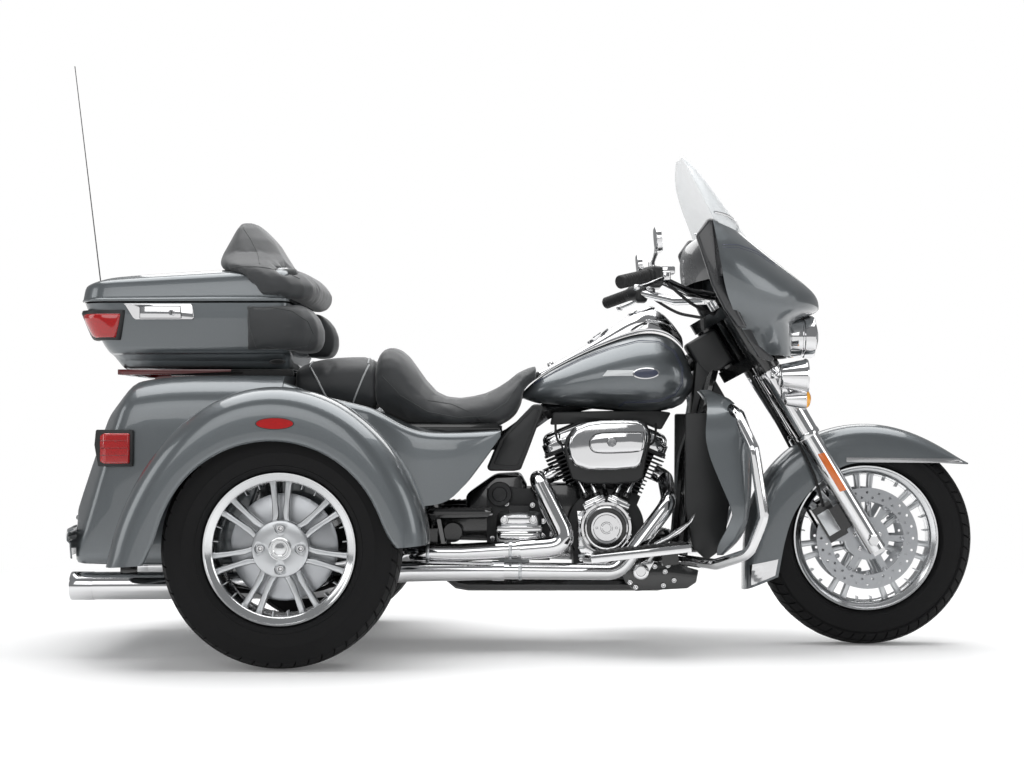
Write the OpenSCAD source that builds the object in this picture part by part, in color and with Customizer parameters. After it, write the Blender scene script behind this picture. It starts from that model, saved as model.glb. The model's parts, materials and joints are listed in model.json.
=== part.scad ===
// Motorized trike: a touring motorcycle front end with two driven wheels at the back.
// Frame: +X forward, +Y to the rider's left, +Z up, origin on the ground under the middle.

/* [Wheels] */
// Distance between the front and rear axles
wheelbase = 1670; // [1640:5:1700]
// Rear axle, behind the origin
rear_axle_x = -620; // [-640:5:-600]
// Outer radius of the front tyre
front_tyre_r = 319; // [314:1:322]
// Width of the front tyre
front_tyre_w = 130; // [120:1:136]
// Outer radius of the rear tyres
rear_tyre_r = 324; // [318:1:328]
// Width of a rear tyre
rear_tyre_w = 205; // [190:1:210]
// From the middle of a rear tyre out to the side of its fender
fender_cover = 142; // [138:1:146]
// Height of the front tyre above its rim
front_sidewall = 102; // [98:1:106]
// Height of a rear tyre above its rim
rear_sidewall = 118; // [114:1:122]
// Twin spokes in each wheel
spoke_pairs = 7; // [5:1:9]
// Radius of the front axle
axle_r = 12; // [10:1:14]
// Radius of a rear spindle
spindle_r = 20; // [17:1:24]
// Running clearance of hubs on axles
hub_clear = 0.3; // [0.2:0.05:0.5]

/* [Steering] */
// Angle of the fork from the vertical, in degrees
rake = 31; // [30:0.5:32]
// Ground distance from the steering axis to the tyre's contact
trail = 100; // [95:1:108]
// Half the distance between the fork legs
fork_half = 121; // [119:1:124]
// Radius of a fork slider
slider_r = 29; // [27:0.5:30]
// Half the width of the handlebar
bar_half = 430; // [415:1:440]
// Radius of the handlebar tube
bar_r = 14; // [12:0.5:16]
// Radius of a brake disc
disc_r = 150; // [145:1:155]

/* [Body] */
// Overall width across the rear fenders
overall_w = 1390; // [1384:1:1396]
// Gap between a rear tyre and the side of the trunk
wheel_gap = 20.5; // [18:0.5:24]
// Wall of the moulded panels
panel_t = 4; // [3:0.5:5]
// Height of the trunk's floor line above the ground
trunk_low = 262; // [258:1:270]
// Thickness of the trunk door
door_t = 22; // [18:1:26]
// Width of the trunk's wall beside its door
door_frame = 112; // [106:1:124]
// Gap round the door and the lid
shut_gap = 5; // [5:0.5:7]

/* [Luggage box] */
// Half the width of the luggage box
box_half = 300; // [292:1:304]
// Height of the lid's split line
split_z = 1006; // [1002:1:1012]
// Rise of the lid's crown above the split
lid_rise = 112; // [104:1:118]
// Wall of the luggage box
box_t = 5; // [4:0.5:6]

/* [Engine] */
// Angle between the cylinders, in degrees
vee = 45; // [42:1:48]
// Height of the crankshaft
crank_z = 355; // [350:1:360]
// Crankshaft's distance in front of the origin
crank_x = 272; // [266:1:278]
// Fins on each cylinder
fins = 11; // [8:1:13]
// Radius of a cylinder barrel
barrel_r = 58; // [54:1:62]

/* [Seat and tank] */
// Lowest point of the rider's saddle
saddle_z = 731; // [725:1:738]
// Half the width of the saddle
saddle_half = 190; // [180:1:198]
// Half the width of the fuel tank
tank_half = 165; // [155:1:172]

/* [Hidden] */
$fn = 48;

front_axle_x = rear_axle_x + wheelbase;
wheel_y = overall_w / 2 - fender_cover;
fender_y = overall_w / 2;
trunk_half = wheel_y - rear_tyre_w / 2 - wheel_gap;
door_half = trunk_half - door_frame;
front_rim_r = front_tyre_r - front_sidewall;
rear_rim_r = rear_tyre_r - rear_sidewall;
// The steering axis crosses the ground ahead of the front tyre's contact
steer_ground_x = front_axle_x + trail;
function steer_x(z) = steer_ground_x - z * tan(rake);
fork_offset = (front_axle_x - steer_x(front_tyre_r)) * cos(rake);
// Moves with the front axle, for what is carried by the steering head
front_shift = front_axle_x - 1050;
front_lift = front_tyre_r - 319;
module lifted() {
    translate([0, 0, front_lift]) children();
}
seat_gap = 0.3;

// Smooth curve through a table of rows [x, value, value...], with clamped ends
function seg(t, x, i = 0) = i >= len(t) - 2 || x < t[i + 1][0] ? i : seg(t, x, i + 1);
function slope(t, i) = let (a = max(0, i - 1), b = min(len(t) - 1, i + 1))
    (t[b] - t[a]) / max(0.001, t[b][0] - t[a][0]);
function smooth(t, x) = let (i = seg(t, x), h = t[i + 1][0] - t[i][0],
    u = max(0, min(1, (x - t[i][0]) / h)), u2 = u * u, u3 = u2 * u)
    (2 * u3 - 3 * u2 + 1) * t[i] + (u3 - 2 * u2 + u) * h * slope(t, i)
    + (3 * u2 - 2 * u3) * t[i + 1] + (u3 - u2) * h * slope(t, i + 1);
function unit(v) = v / max(1e-9, norm(v));
function sgn_pow(v, p) = sign(v) * pow(abs(v), p);

// Faces turned so that they look outwards
function outward(points, faces) =
    [for (f = faces) points[f[0]] * cross(points[f[1]], points[f[2]])] * [for (f = faces) 1] > 0
    ? [for (f = faces) [f[2], f[1], f[0]]] : faces;

// Solid through closed rings of equal length, its ends closed to their middles
module loft(rings) {
    m = len(rings);
    n = len(rings[0]);
    mid = function (r) [for (j = [0:2]) [for (p = r) p[j]] * [for (p = r) 1 / len(r)]];
    points = [for (r = rings) each r, mid(rings[0]), mid(rings[m - 1])];
    faces = [for (i = [0:m - 2], k = [0:n - 1]) let (a = i * n + k, b = i * n + (k + 1) % n)
            each [[a, b, b + n], [a, b + n, a + n]],
        for (k = [0:n - 1]) [m * n, (k + 1) % n, k],
        for (k = [0:n - 1]) [m * n + 1, (m - 1) * n + k, (m - 1) * n + (k + 1) % n]];
    polyhedron(points = points, faces = outward(points, faces), convexity = 6);
}

// Thick sheet over a grid of points g[station][k]; t is measured along the grid's normal
module sheet(g, t) {
    m = len(g);
    n = len(g[0]);
    normal = function (i, k) unit(cross(
        g[min(m - 1, i + 1)][k] - g[max(0, i - 1)][k], g[i][min(n - 1, k + 1)] - g[i][max(0, k - 1)]));
    between(g, [for (i = [0:m - 1]) [for (k = [0:n - 1]) g[i][k] + t * normal(i, k)]]);
}

// Solid between two grids of the same size
module between(g, h) {
    m = len(g);
    n = len(g[0]);
    points = concat([for (r = g) each r], [for (r = h) each r]);
    q = m * n;
    faces = [for (i = [0:m - 2], k = [0:n - 2]) let (a = i * n + k, b = a + n)
            each [[a, a + 1, b + 1], [a, b + 1, b],
                [q + a, q + b + 1, q + a + 1], [q + a, q + b, q + b + 1]],
        for (i = [0:m - 2]) let (a = i * n, b = a + n) each [[a, b, q + b], [a, q + b, q + a]],
        for (i = [0:m - 2]) let (a = i * n + n - 1, b = a + n)
            each [[b, a, q + a], [b, q + a, q + b]],
        for (k = [0:n - 2]) each [[k + 1, k, q + k], [k + 1, q + k, q + k + 1]],
        for (k = [0:n - 2]) let (a = (m - 1) * n + k)
            each [[a, a + 1, q + a + 1], [a, q + a + 1, q + a]]];
    polyhedron(points = points, faces = outward(points, faces), convexity = 8);
}

// Straight round bar between two points
module bar(a, b, r) {
    d = b - a;
    translate(a) rotate([0, acos(d[2] / norm(d)), atan2(d[1], d[0])]) cylinder(r = r, h = norm(d));
}

// Corner points of a path, each corner turned into an arc of radius bend
function rounded(path, bend) = [path[0], for (i = [1:len(path) - 2])
    let (u = unit(path[i] - path[i - 1]), v = unit(path[i + 1] - path[i]), turn = acos(min(1, u * v)),
        cut = min(bend * tan(turn / 2), 0.45 * norm(path[i] - path[i - 1]),
            0.45 * norm(path[i + 1] - path[i])))
    for (s = turn < 20 ? [0, 1] : turn < 50 ? [0, 0.5, 1] : [0, 0.3, 0.7, 1])
        let (a = path[i] - (1 - s) * cut * u, b = path[i] + s * cut * v) (1 - s) * a + s * b,
    path[len(path) - 1]];
// A normal carried along the tangents without twist
function carried(t, n, i = 0) = i == len(t) ? [] :
    let (m = unit(n - (n * t[i]) * t[i])) concat([m], carried(t, m, i + 1));

function run(p, i) = i == 0 ? 0 : norm(p[i] - p[i - 1]) + run(p, i - 1);

// Bent tube along corner points; r is one radius, or a list of [share of the length, radius]
module tube(path, r, bend, sides = 8) {
    p = rounded(path, bend);
    n = len(p);
    whole = run(p, n - 1);
    t = [for (i = [0:n - 1]) unit(p[min(n - 1, i + 1)] - p[max(0, i - 1)])];
    first = abs(t[0][2]) > 0.8 ? [1, 0, 0] : [0, 0, 1];
    m = carried(t, first);
    loft([for (i = [0:n - 1]) let (side = cross(t[i], m[i]), q = is_list(r) ? smooth(r, run(p, i) / whole)[1] : r)
        [for (k = [0:sides - 1]) let (a = 360 * k / sides)
            p[i] + q * cos(a) * m[i] + q * sin(a) * side]]);
}

// Rounded rectangle of n + 1 points a corner
function round_rect(w, h, r, n = 2) = [for (c = [[1, 1, 0], [-1, 1, 90], [-1, -1, 180], [1, -1, 270]],
    i = [0:n]) [c[0] * (w / 2 - r) + r * cos(c[2] + 90 * i / n), c[1] * (h / 2 - r) + r * sin(c[2] + 90 * i / n)]];

// Cast cover on an outline: steps of [height, share of the outline]
module cover(outline, steps) {
    loft([for (s = steps) [for (p = outline) [p[0] * s[1], p[1] * s[1], s[0]]]]);
}

module across_x(x0, x1, y, z, r) {
    translate([x0, y, z]) rotate([0, 90, 0]) cylinder(r = r, h = x1 - x0);
}

// Lies across the machine: a round body about the Y axis, from y0 to y1
module across(x, z, y0, y1, r) {
    translate([x, y0, z]) rotate([-90, 0, 0]) cylinder(r = r, h = y1 - y0);
}

// Turned about the wheel's axle at [x, y, z], from a profile of [radius, y]
module turned(x, y, z) {
    translate([x, y, z]) rotate([-90, 0, 0]) rotate_extrude() children();
}

// What the fork carries is drawn from the front axle, with z along the legs
module fork_frame() {
    translate([front_axle_x, 0, front_tyre_r]) rotate([0, -rake, 0]) children();
}

module mirrored() {
    children();
    mirror([0, 1, 0]) children();
}

// Hinges: leaves on the fixed side hold a pin, knuckles on the moving side turn on it
pin_r = 4;
knuckle_r = 8;

// Wheels

// Section of a tyre; the rim's flange radius and half width set its beads
module tyre_profile(r, w, flange, half, crown) {
    h = w / 2;
    side = r - flange;
    flank = [[flange - 13.7, half - 12.6], [flange + 1.5, half - 8.6], [flange + 4, half + 1],
        [flange + side * 0.3, h * 0.97], [flange + side * 0.48, h], [r - crown, h * 0.87],
        [r - crown * 0.45, h * 0.7], [r - crown * 0.12, h * 0.4], [r, h * 0.1]];
    polygon([for (p = flank) p, for (i = [len(flank) - 1:-1:0]) [flank[i][0], -flank[i][1]]]);
}

module rim_profile(r, half) {
    polygon([[r - 22, -half + 12], [r - 12, -half + 6], [r - 4, -half], [r, -half + 2],
        [r - 1, -half + 8], [r - 14, -half + 12], [r - 14, half - 12], [r - 1, half - 8],
        [r, half - 2], [r - 4, half], [r - 12, half - 6], [r - 22, half - 12], [r - 26, 0]]);
}

// Spokes in pairs from the hub to the rim, standing about the Y axis
module spokes(count, hub_r, rim_r, y, deep, wide, apart, phase) {
    for (i = [0:count - 1], s = [-1, 1])
        rotate([0, -phase - i * 360 / count, 0])
            translate([0, y, s * apart]) rotate([0, -s * 2.2, 0]) rotate([0, 90, 0])
                linear_extrude(height = rim_r) square([wide, deep], center = true);
}

front_rim_half = 45;
module front_tyre() {
    color([0.07, 0.07, 0.07]) turned(front_axle_x, 0, front_tyre_r)
        tyre_profile(front_tyre_r, front_tyre_w, front_rim_r, front_rim_half, 34);
}

front_hub_half = 60;
module front_rim() {
    half = front_rim_half;
    color([0.8, 0.8, 0.8]) translate([front_axle_x, 0, front_tyre_r]) difference() {
        union() {
            turned(0, 0, 0) rim_profile(front_rim_r, half);
            across(0, 0, -front_hub_half, front_hub_half, 34);
            across(0, 0, -22, 22, 62);
            intersection() {
                spokes(spoke_pairs, 0, front_rim_r, 0, 26, 11, 16, 60);
                across(0, 0, -20, 20, front_rim_r - 20);
            }
        }
        across(0, 0, -front_hub_half - 1, front_hub_half + 1, axle_r + hub_clear);
    }
}

disc_y = front_hub_half + seat_gap + 2.5;
disc_t = 5;
module brake_discs() {
    color([0.7, 0.7, 0.7]) mirrored() translate([front_axle_x, disc_y, front_tyre_r]) {
        difference() {
            across(0, 0, -disc_t / 2, disc_t / 2, disc_r);
            across(0, 0, -disc_t, disc_t, disc_r - 42);
            for (a = [0:15:345]) rotate([0, a, 0]) across(disc_r - 14, 0, -disc_t, disc_t, 4);
            for (a = [7.5:15:352.5]) rotate([0, a, 0]) across(disc_r - 29, 0, -disc_t, disc_t, 4);
        }
        difference() {
            union() {
                across(0, 0, -disc_t / 2, disc_t / 2, 64);
                for (a = [0:60:300]) rotate([0, a, 0]) translate([50, -disc_t / 2, -9])
                    cube([disc_r - 90, disc_t, 18]);
            }
            across(0, 0, -disc_t, disc_t, 26);
        }
    }
}

rear_rim_half = 82;
module rear_tyre() {
    turned(rear_axle_x, -wheel_y, rear_tyre_r)
        tyre_profile(rear_tyre_r, rear_tyre_w, rear_rim_r, rear_rim_half, 22);
}

rear_hub_in = 70;
module rear_rim() {
    half = rear_rim_half;
    face = -38;
    translate([rear_axle_x, -wheel_y, rear_tyre_r]) difference() {
        union() {
            turned(0, 0, 0) rim_profile(rear_rim_r, half);
            across(0, 0, face - 14, face + 16, 77);
            across(0, 0, face - 22, face - 14, 31);
            across(0, 0, face + 16, rear_hub_in, 44);
            intersection() {
                translate([0, face, 0]) spokes(spoke_pairs, 0, rear_rim_r, 0, 24, 13, 15, 90);
                across(0, 0, face - 12, face + 12, rear_rim_r - 20);
            }
        }
        across(0, 0, face, rear_hub_in + 1, spindle_r + hub_clear);
        for (a = [0:90:270]) rotate([0, a, 0]) across(54, 0, face - 15, face - 6, 15);
    }
}

// Power train

module crankcase() {
    color([0.12, 0.12, 0.12]) {
        translate([crank_x, 0, crank_z]) difference() {
            union() {
            across(0, 0, -120, 120, 112);
            translate([-95, -110, -128]) cube([190, 220, 60]);
            translate([-60, -140, rail_z + rail_r + seat_gap - crank_z]) cube([120, 280, 26]);
            for (s = [-1, 1]) rotate([0, s * vee / 2, 0]) translate([-62, -88, 60]) cube([124, 176, 62]);
            }
            for (s = [-1, 1]) rotate([0, s * vee / 2, 0]) translate([0, -s * 8, cyl_base - seat_gap])
                cylinder(r = barrel_r + seat_gap, h = 60);
        }
    }
}

cyl_base = 122.4;
cyl_top = 262;
fin_half = 95;
// Fins are cut short where the two cylinders meet
fin_x = [128, 176];
module cylinders() {
    pitch = (cyl_top - cyl_base - 6) / fins;
    color([0.06, 0.06, 0.06]) translate([crank_x, 0, crank_z]) for (s = [-1, 1])
        rotate([0, s * vee / 2, 0]) translate([0, -s * 8, 0]) {
            translate([0, 0, cyl_base]) cylinder(r = barrel_r, h = cyl_top - cyl_base);
            for (i = [0:fins - 1]) translate([0, 0, cyl_base + 8 + i * pitch])
                linear_extrude(height = pitch * 0.42)
                    polygon(round_rect(fin_x[i > 3 ? 1 : 0], 2 * fin_half, 40, 2));
        }
}

module rocker_covers() {
    outline = round_rect(168, 186, 26);
    color([0.82, 0.82, 0.82]) translate([crank_x, 0, crank_z]) for (s = [-1, 1])
        rotate([0, s * vee / 2, 0]) translate([0, -s * 8, cyl_top + seat_gap])
            cover(outline, [[0, 0.98], [26, 0.98], [28, 0.9], [32, 0.9], [44, 0.86], [53, 0.74], [56, 0.6]]);
}

// Oval cover of the air cleaner, tapering to the front
module air_cleaner() {
    cx = crank_x + 2;
    cz = crank_z + 243;
    half = 118;
    outline = [[-half, -8], [-half + 6, 22], [-half + 26, 50], [-half + 62, 64], [half - 32, 70],
        [half - 12, 62], [half, 38], [half - 2, 6], [half - 20, -56], [half - 38, -70], [-56, -74],
        [-96, -62], [-112, -38]];
    color([0.85, 0.85, 0.85]) translate([cx, -158, cz]) rotate([90, 0, 0]) {
        cover(outline, [[0, 1.02], [34, 1.04], [44, 1], [54, 0.93], [64, 0.8], [69, 0.62]]);
        translate([0, 0, fin_half + 8 + seat_gap - 158]) cylinder(r = 46, h = 159 - fin_half - 8);
    }
}

module cam_cover() {
    color([0.82, 0.82, 0.82]) translate([crank_x, 0, crank_z]) {
        across(0, 0, -150, -120.3, 78);
        across(0, 0, -166, -150, 62);
        across(0, 0, -174, -166, 46);
        for (s = [-1, 1]) rotate([0, s * 26, 0]) translate([-34, -158, 74]) cube([68, 37, 22]);
    }
}

gearbox_x = crank_x - 255;
module gearbox() {
    color([0.1, 0.1, 0.1]) {
        translate([gearbox_x - 95, -120, 258]) cube([185, 240, 210]);
        translate([gearbox_x - 60, -140, rail_z + rail_r + seat_gap]) cube([90, 259, 60]);
        across(gearbox_x - 30, 424, -118, 110, 50);
        translate([gearbox_x, -120, 352]) rotate([90, 0, 0]) {
            cover(round_rect(132, 102, 20), [[0, 1], [28, 1], [34, 0.94], [50, 0.86], [56, 0.78]]);
            translate([-30, 34, 0]) cube([60, 34, 42]);
        }
    }
}

module primary_cover() {
    color([0.8, 0.8, 0.8]) translate([0, 120.3, 0]) rotate([-90, 0, 0]) mirror([0, 1, 0]) {
        linear_extrude(height = 60) hull() {
            translate([crank_x, crank_z - 10]) circle(r = 108);
            translate([gearbox_x, crank_z - 15]) circle(r = 92);
        }
        translate([gearbox_x, crank_z - 15, 60]) cylinder(r = 74, h = 16);
        translate([crank_x, crank_z - 10, 60]) cylinder(r = 52, h = 12);
    }
}

pipe_r = 24;
muffler_r = 39;
muffler_y = wheel_y - 181;
right_joint_x = -46;
left_joint_x = -380;
cross_z = 250;
// Where a head's exhaust port faces, for the front (1) or rear (-1) cylinder
function port(side, out) = let (a = vee / 2, h = 205, w = fin_x[1] / 2 + out)
    [crank_x + side * (h * sin(a) + w * cos(a)), -48, crank_z + h * cos(a) - w * sin(a)];
module header_pipes() {
    color([0.86, 0.86, 0.86]) {
        for (s = [-1, 1]) bar(port(s, seat_gap), port(s, 14), 34);
        tube([port(-1, 4), port(-1, 50), [crank_x - 205, -222, 500], [crank_x - 108, -236, 306],
            [-150, -236, 288], [-285, -236, 288], [-330, -150, cross_z], [-330, 150, cross_z],
            [left_joint_x + 20, 236, 236], [left_joint_x, 236, 236]], pipe_r, 60);
        tube([port(1, 4), port(1, 40), [crank_x + 182, -190, 430], [crank_x + 30, -222, 232],
            [right_joint_x + 60, -236, 236], [right_joint_x, -236, 236]], pipe_r, 60);
    }
}

// Muffler of the right side, joined to its pipe at x = joint
module muffler(joint) {
    path = [[joint - seat_gap, -236, 236], [joint - 40, -236, 236], [min(joint - 60, -330), -262, 236],
        [-560, -muffler_y, 208], [-1236, -muffler_y, 204]];
    tube(path, [[0, 27], [0.14, 27], [0.4, muffler_r], [1, muffler_r]], 160, 12);
    for (x = [-830, -1100]) translate([x, -muffler_y - 9, 225]) cube([46, 18, trunk_low - seat_gap - 225]);
}

// Frame of steel tube, with the steering head
rail_y = 128;
rail_z = 186;
rail_r = 17;
// Top of the fork's legs above the front axle, along the legs
leg_top = 800;
// The steering head stands between the fork's two clamps
head_low = leg_top - 156 + seat_gap;
head_high = leg_top - 22 - seat_gap;
stem_r = 15;
function on_axis(h, back) = [front_axle_x - (fork_offset + back) * cos(rake) - h * sin(rake), 0,
    front_tyre_r - (fork_offset + back) * sin(rake) + h * cos(rake)];
module frame() {
    spine = on_axis(head_high - 62, 30);
    down = on_axis(head_low + 30, 40);
    color([0.05, 0.05, 0.05]) {
        fork_frame() translate([-fork_offset, 0, head_low]) difference() {
            cylinder(r = 34, h = head_high - head_low);
            translate([0, 0, -1]) cylinder(r = stem_r + hub_clear, h = head_high - head_low + 2);
        }
        tube([spine, [400, 0, 766], [100, 0, 700], [-30, 0, 606],
            [-262, 0, 604]], 26, 80);
        translate([-212, -40, 596]) cube([24, 80, smooth(saddle_table, -200)[2] - 0.5 - 596]);
        translate([-560, -90, 600]) cube([150, 180, deck_z - panel_t - 600.3]);
        translate([-420, -30, 590]) cube([160, 60, 40]);
        mirrored() {
            bar(down + [16, 12, 8], down + [-6, 26, -4], 13);
            tube([[down[0], 26, down[2]], [520, rail_y, 560], [486, rail_y, rail_z],
                [-190, rail_y, rail_z], [-262, rail_y, 560], [-262, 0, 606]], rail_r, 70);
            bar([-262, 80, 580], [trunk_front - 9.5, trunk_half - 100, 610], rail_r);
            across(35, 653, 0, cover_y - seat_gap, 8);
        }
        translate([-262, -150, 440]) cube([52, 300, 40]);
        bar([486, -rail_y, rail_z + 60], [486, rail_y, rail_z + 60], 14);
    }
}

// Live rear axle with its differential and spindles, and the swingarm plates that carry it
axle_tube_r = 38;
axle_half = wheel_y - rear_hub_in - 2;
module rear_axle() {
    color([0.09, 0.09, 0.09]) {
        across(rear_axle_x, rear_tyre_r, -axle_half, axle_half, axle_tube_r);
        across(rear_axle_x, rear_tyre_r, -70, 150, 92);
        mirrored() {
            across(rear_axle_x, rear_tyre_r, axle_half, wheel_y + 38 - 1, spindle_r);
            across(rear_axle_x, rear_tyre_r, axle_half - 22, axle_half - 8, 118);
            translate([-640, 168, rear_tyre_r - 24]) cube([420, 22, 54]);
            translate([-280, 145.3, rear_tyre_r - 24]) cube([60, 23, 54]);
        }
    }
}

// Fuel tank, side outline against x: top, bottom, half width
tank_table = [[26, 752, 734, 34], [60, 786, 722, 70], [137, 836, 712, 106], [254, 892, 700, 140],
    [372, 932, 692, 162], [450, 928, 696, 160], [505, 888, 716, 132], [534, 820, 756, 62]];
function tank_ring(x) = let (q = smooth(tank_table, x), zc = (q[1] + q[2]) / 2,
    h = (q[1] - q[2]) / 2, w = q[3] * tank_half / 162)
    [for (a = [0:18:342]) [x, w * sgn_pow(cos(a), 0.8) * (sin(a) > 0 ? 1 - 0.16 * sin(a) : 1),
        zc + h * sgn_pow(sin(a), 0.86)]];
spine_at = on_axis(head_high - 62, 30);
module fuel_tank() {
    xs = [26, 40, 70, 110, 160, 225, 290, 350, 400, 440, 475, 505, 525, 535];
    color([0.40, 0.43, 0.45]) difference() {
        loft([for (x = xs) tank_ring(x)]);
        translate([0, 30, 0]) rotate([90, 0, 0]) linear_extrude(height = 60) polygon([[-40, 600], [600, 600],
            [600, 802.7 + 200 * (spine_at[2] - 766) / (spine_at[0] - 400)], [400, 796.7], [100, 730.7], [-40, 640]]);
    }
}

console_table = [[64, 812, 22], [120, 838, 34], [200, 884, 44], [300, 948, 54], [350, 990, 60],
    [400, 1014, 62], [440, 1000, 58], [480, 958, 44], [508, 918, 26]];
function console_ring(x) = let (q = smooth(console_table, x), t = smooth(tank_table, x),
    low = t[1] + 1.6, h = q[1] - low)
    [for (a = [0:20:340]) let (c = cos(a), s = sin(a))
        [x, q[2] * sgn_pow(c, 0.7), s >= 0 ? low + 2 + (h - 2) * pow(s, 0.8) : low]];
module tank_console() {
    color([0.85, 0.85, 0.85]) loft([for (x = [64, 120, 190, 265, 340, 395, 435, 465, 487, 501, 508])
        console_ring(x)]);
}

// Saddle: top line, bottom line and half width against x
saddle_table = [[-404, 842, 706, 150], [-392, 876, 698, 160], [-368, 889, 690, 168],
    [-338, 884, 676, 174], [-300, 832, 658, 182], [-245, 758, 648, 189],
    [-187, saddle_z, 644, 190], [-120, saddle_z + 4, 644, 184], [-69, saddle_z + 18, 648, 168],
    [-16, 780, 666, 138], [18, 808, 722, 108], [25, 812, 764, 102], [62, 838, 797, 60]];
function saddle_ring(x) = let (q = smooth(saddle_table, x), w = q[3] * saddle_half / 190,
    zm = q[2] + (q[1] - q[2]) * 0.45)
    [for (a = [0:18:342]) let (c = cos(a), s = sin(a))
        [x, w * sgn_pow(c, 0.62), s >= 0 ? zm + (q[1] - zm) * pow(s, 0.72)
            : zm + (zm - q[2]) * sgn_pow(s, 0.5)]];
module rider_seat() {
    color([0.13, 0.13, 0.13]) loft([for (x = [-404, -396, -380, -360, -330, -300, -270, -235, -200,
        -160, -120, -80, -45, -15, 5, 18, 25, 42, 62]) saddle_ring(x)]);
}

pillion_table = [[-640, 828, 712, 150], [-560, 846, 706, 158], [-480, 852, 702, 160],
    [-404.6, 852, 700, 152]];
function pillion_ring(x, k) = let (q = smooth(pillion_table, x), w = q[3] * k)
    [for (a = [0:18:342]) let (c = cos(a), s = sin(a))
        [x, w * sgn_pow(c, 0.5), 770 + (s >= 0 ? (q[1] - 770) : (770 - q[2])) * k * sgn_pow(s, 0.6)]];
module passenger_seat() {
    color([0.13, 0.13, 0.13]) loft([pillion_ring(-640, 0.9), pillion_ring(-632, 1),
        for (x = [-600:40:-440]) pillion_ring(x, 1), pillion_ring(-412, 1), pillion_ring(-404.6, 0.96)]);
}

// Rear body

// Closed ring round the trunk: half width, floor, roof and corner radii, at x
function trunk_ring(w, lo, hi, rl, rh, xf) = [for (c = [[1, 1, rh, 0], [-1, 1, rh, 90], [-1, -1, rl, 180],
    [1, -1, rl, 270]], a = [0:22.5:90]) let (r = c[2], y = c[0] * (w - r) + r * cos(c[3] + a),
        z = (c[1] > 0 ? hi - r : lo + r) + r * sin(c[3] + a)) [xf(y, z), y, z]];
// Rear line of the body against height
rear_line = [[240, -1246], [300, -1252], [400, -1236], [500, -1210], [600, -1178], [700, -1134],
    [760, -1094], [800, -1060]];
function rear_x(z) = smooth(rear_line, z)[1];
// The corner rounds off towards the side
function corner_x(y, z, dx) = rear_x(z) + dx + 46 * pow(min(1, abs(y) / trunk_half), 6);
trunk_front = -640;
// Height of the deck that carries the passenger seat
deck_z = 699.5;
trunk_top = 800;
door_low = 392;
door_high = 716;
door_hinges = [98 - door_half, door_half - 98];
door_pin = [rear_x(door_low) - knuckle_r - 2, door_low - shut_gap / 2];
module trunk_body() {
    t = panel_t;
    w = trunk_half;
    roof = function (x) trunk_top - 0.0004 * pow(min(0, x + 900), 2);
    lean = function (z) 120 * max(0, min(1, 1 - (z - 302) / 388));
    station = function (x, in, k) trunk_ring(w - in, trunk_low + in, roof(x) - in, 40 - in, 110 - in,
        function (y, z) x - k * lean(z));
    back = function (in, dx) trunk_ring(w - in, trunk_low + in, roof(-1080) - in, 40 - in, 110 - in,
        function (y, z) corner_x(y, z, dx));
    mouth = function (dx) trunk_ring(door_half + shut_gap, door_low - shut_gap,
        door_high + shut_gap, 40, 60, function (y, z) rear_x(z) + dx);
    color([0.40, 0.43, 0.45]) for (y = door_hinges) {
        across(door_pin[0], door_pin[1], y - 34, y + 34, pin_r);
        for (s = [-1, 1]) {
            across(door_pin[0], door_pin[1], y + s * 27 - 6, y + s * 27 + 6, knuckle_r);
            translate([door_pin[0], y + s * 27 - 6, door_pin[1] - knuckle_r - 12])
                cube([knuckle_r + 8, 12, 14]);
        }
    }
    color([0.40, 0.43, 0.45]) loft([station(trunk_front, 14, 1), station(trunk_front - 4, 2, 1),
        station(trunk_front - 12, 0, 1), station(-840, 0, 0), station(-960, 0, 0), back(0, 26), back(6, 6),
        back(20, 0), mouth(0), mouth(26), back(26, 30), back(t, 44), station(-960, t, 0), station(-840, t, 0),
        station(trunk_front - 6, t, 1)]);
}

module trunk_door() {
    ring = function (in, dx) trunk_ring(door_half - in, door_low + in, door_high - in, 36 - in * 0.5,
        56 - in * 0.5, function (y, z) rear_x(z) + dx);
    color([0.40, 0.43, 0.45]) {
        loft([ring(6, door_t), ring(0, door_t - 5), ring(0, 4), ring(5, 0)]);
        for (y = door_hinges) difference() {
            union() {
                across(door_pin[0], door_pin[1], y - 20, y + 20, knuckle_r);
                translate([door_pin[0] - 2, y - 20, door_pin[1] + 3]) cube([knuckle_r + 8, 40, 14]);
            }
            across(door_pin[0], door_pin[1], y - 21, y + 21, pin_r + hub_clear);
        }
    }
}

// Rear fender: outer radius and lip radius against the angle round its own centre
arch_x = rear_axle_x - 16;
arch_z = rear_tyre_r - 16;
arch_table = [[4, 414, 330], [8, 416, 312], [17, 421, 307], [30, 420, 307], [50, 433, 307],
    [70, 449, 307], [88, 456, 307], [104, 452, 307], [119, 440, 307], [138, 424, 307],
    [155, 421, 307], [168, 430, 307], [176, 439, 312], [184, 452, 336]];
function arch_row(a) = let (q = smooth(arch_table, a), ro = q[1], rl = q[2], y = fender_y)
    [for (p = [[rl, y - 7], [rl + 5, y - 1], [rl + (ro - rl) * 0.3, y], [ro - 56, y - 3],
        [ro - 32, y - 14], [ro - 14, y - 34], [ro - 4, y - 62], [ro, y - 96], [ro, y - 150],
        [ro - 1, y - 200], [ro - 4, trunk_half + seat_gap]])
        [arch_x + p[0] * cos(a), -p[1], arch_z + p[0] * sin(a)]];
module rear_fender() {
    sheet([for (a = [4, 12, 24, 38, 52, 66, 80, 94, 108, 122, 136, 150, 163, 174, 184]) arch_row(a)], panel_t);
}

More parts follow.
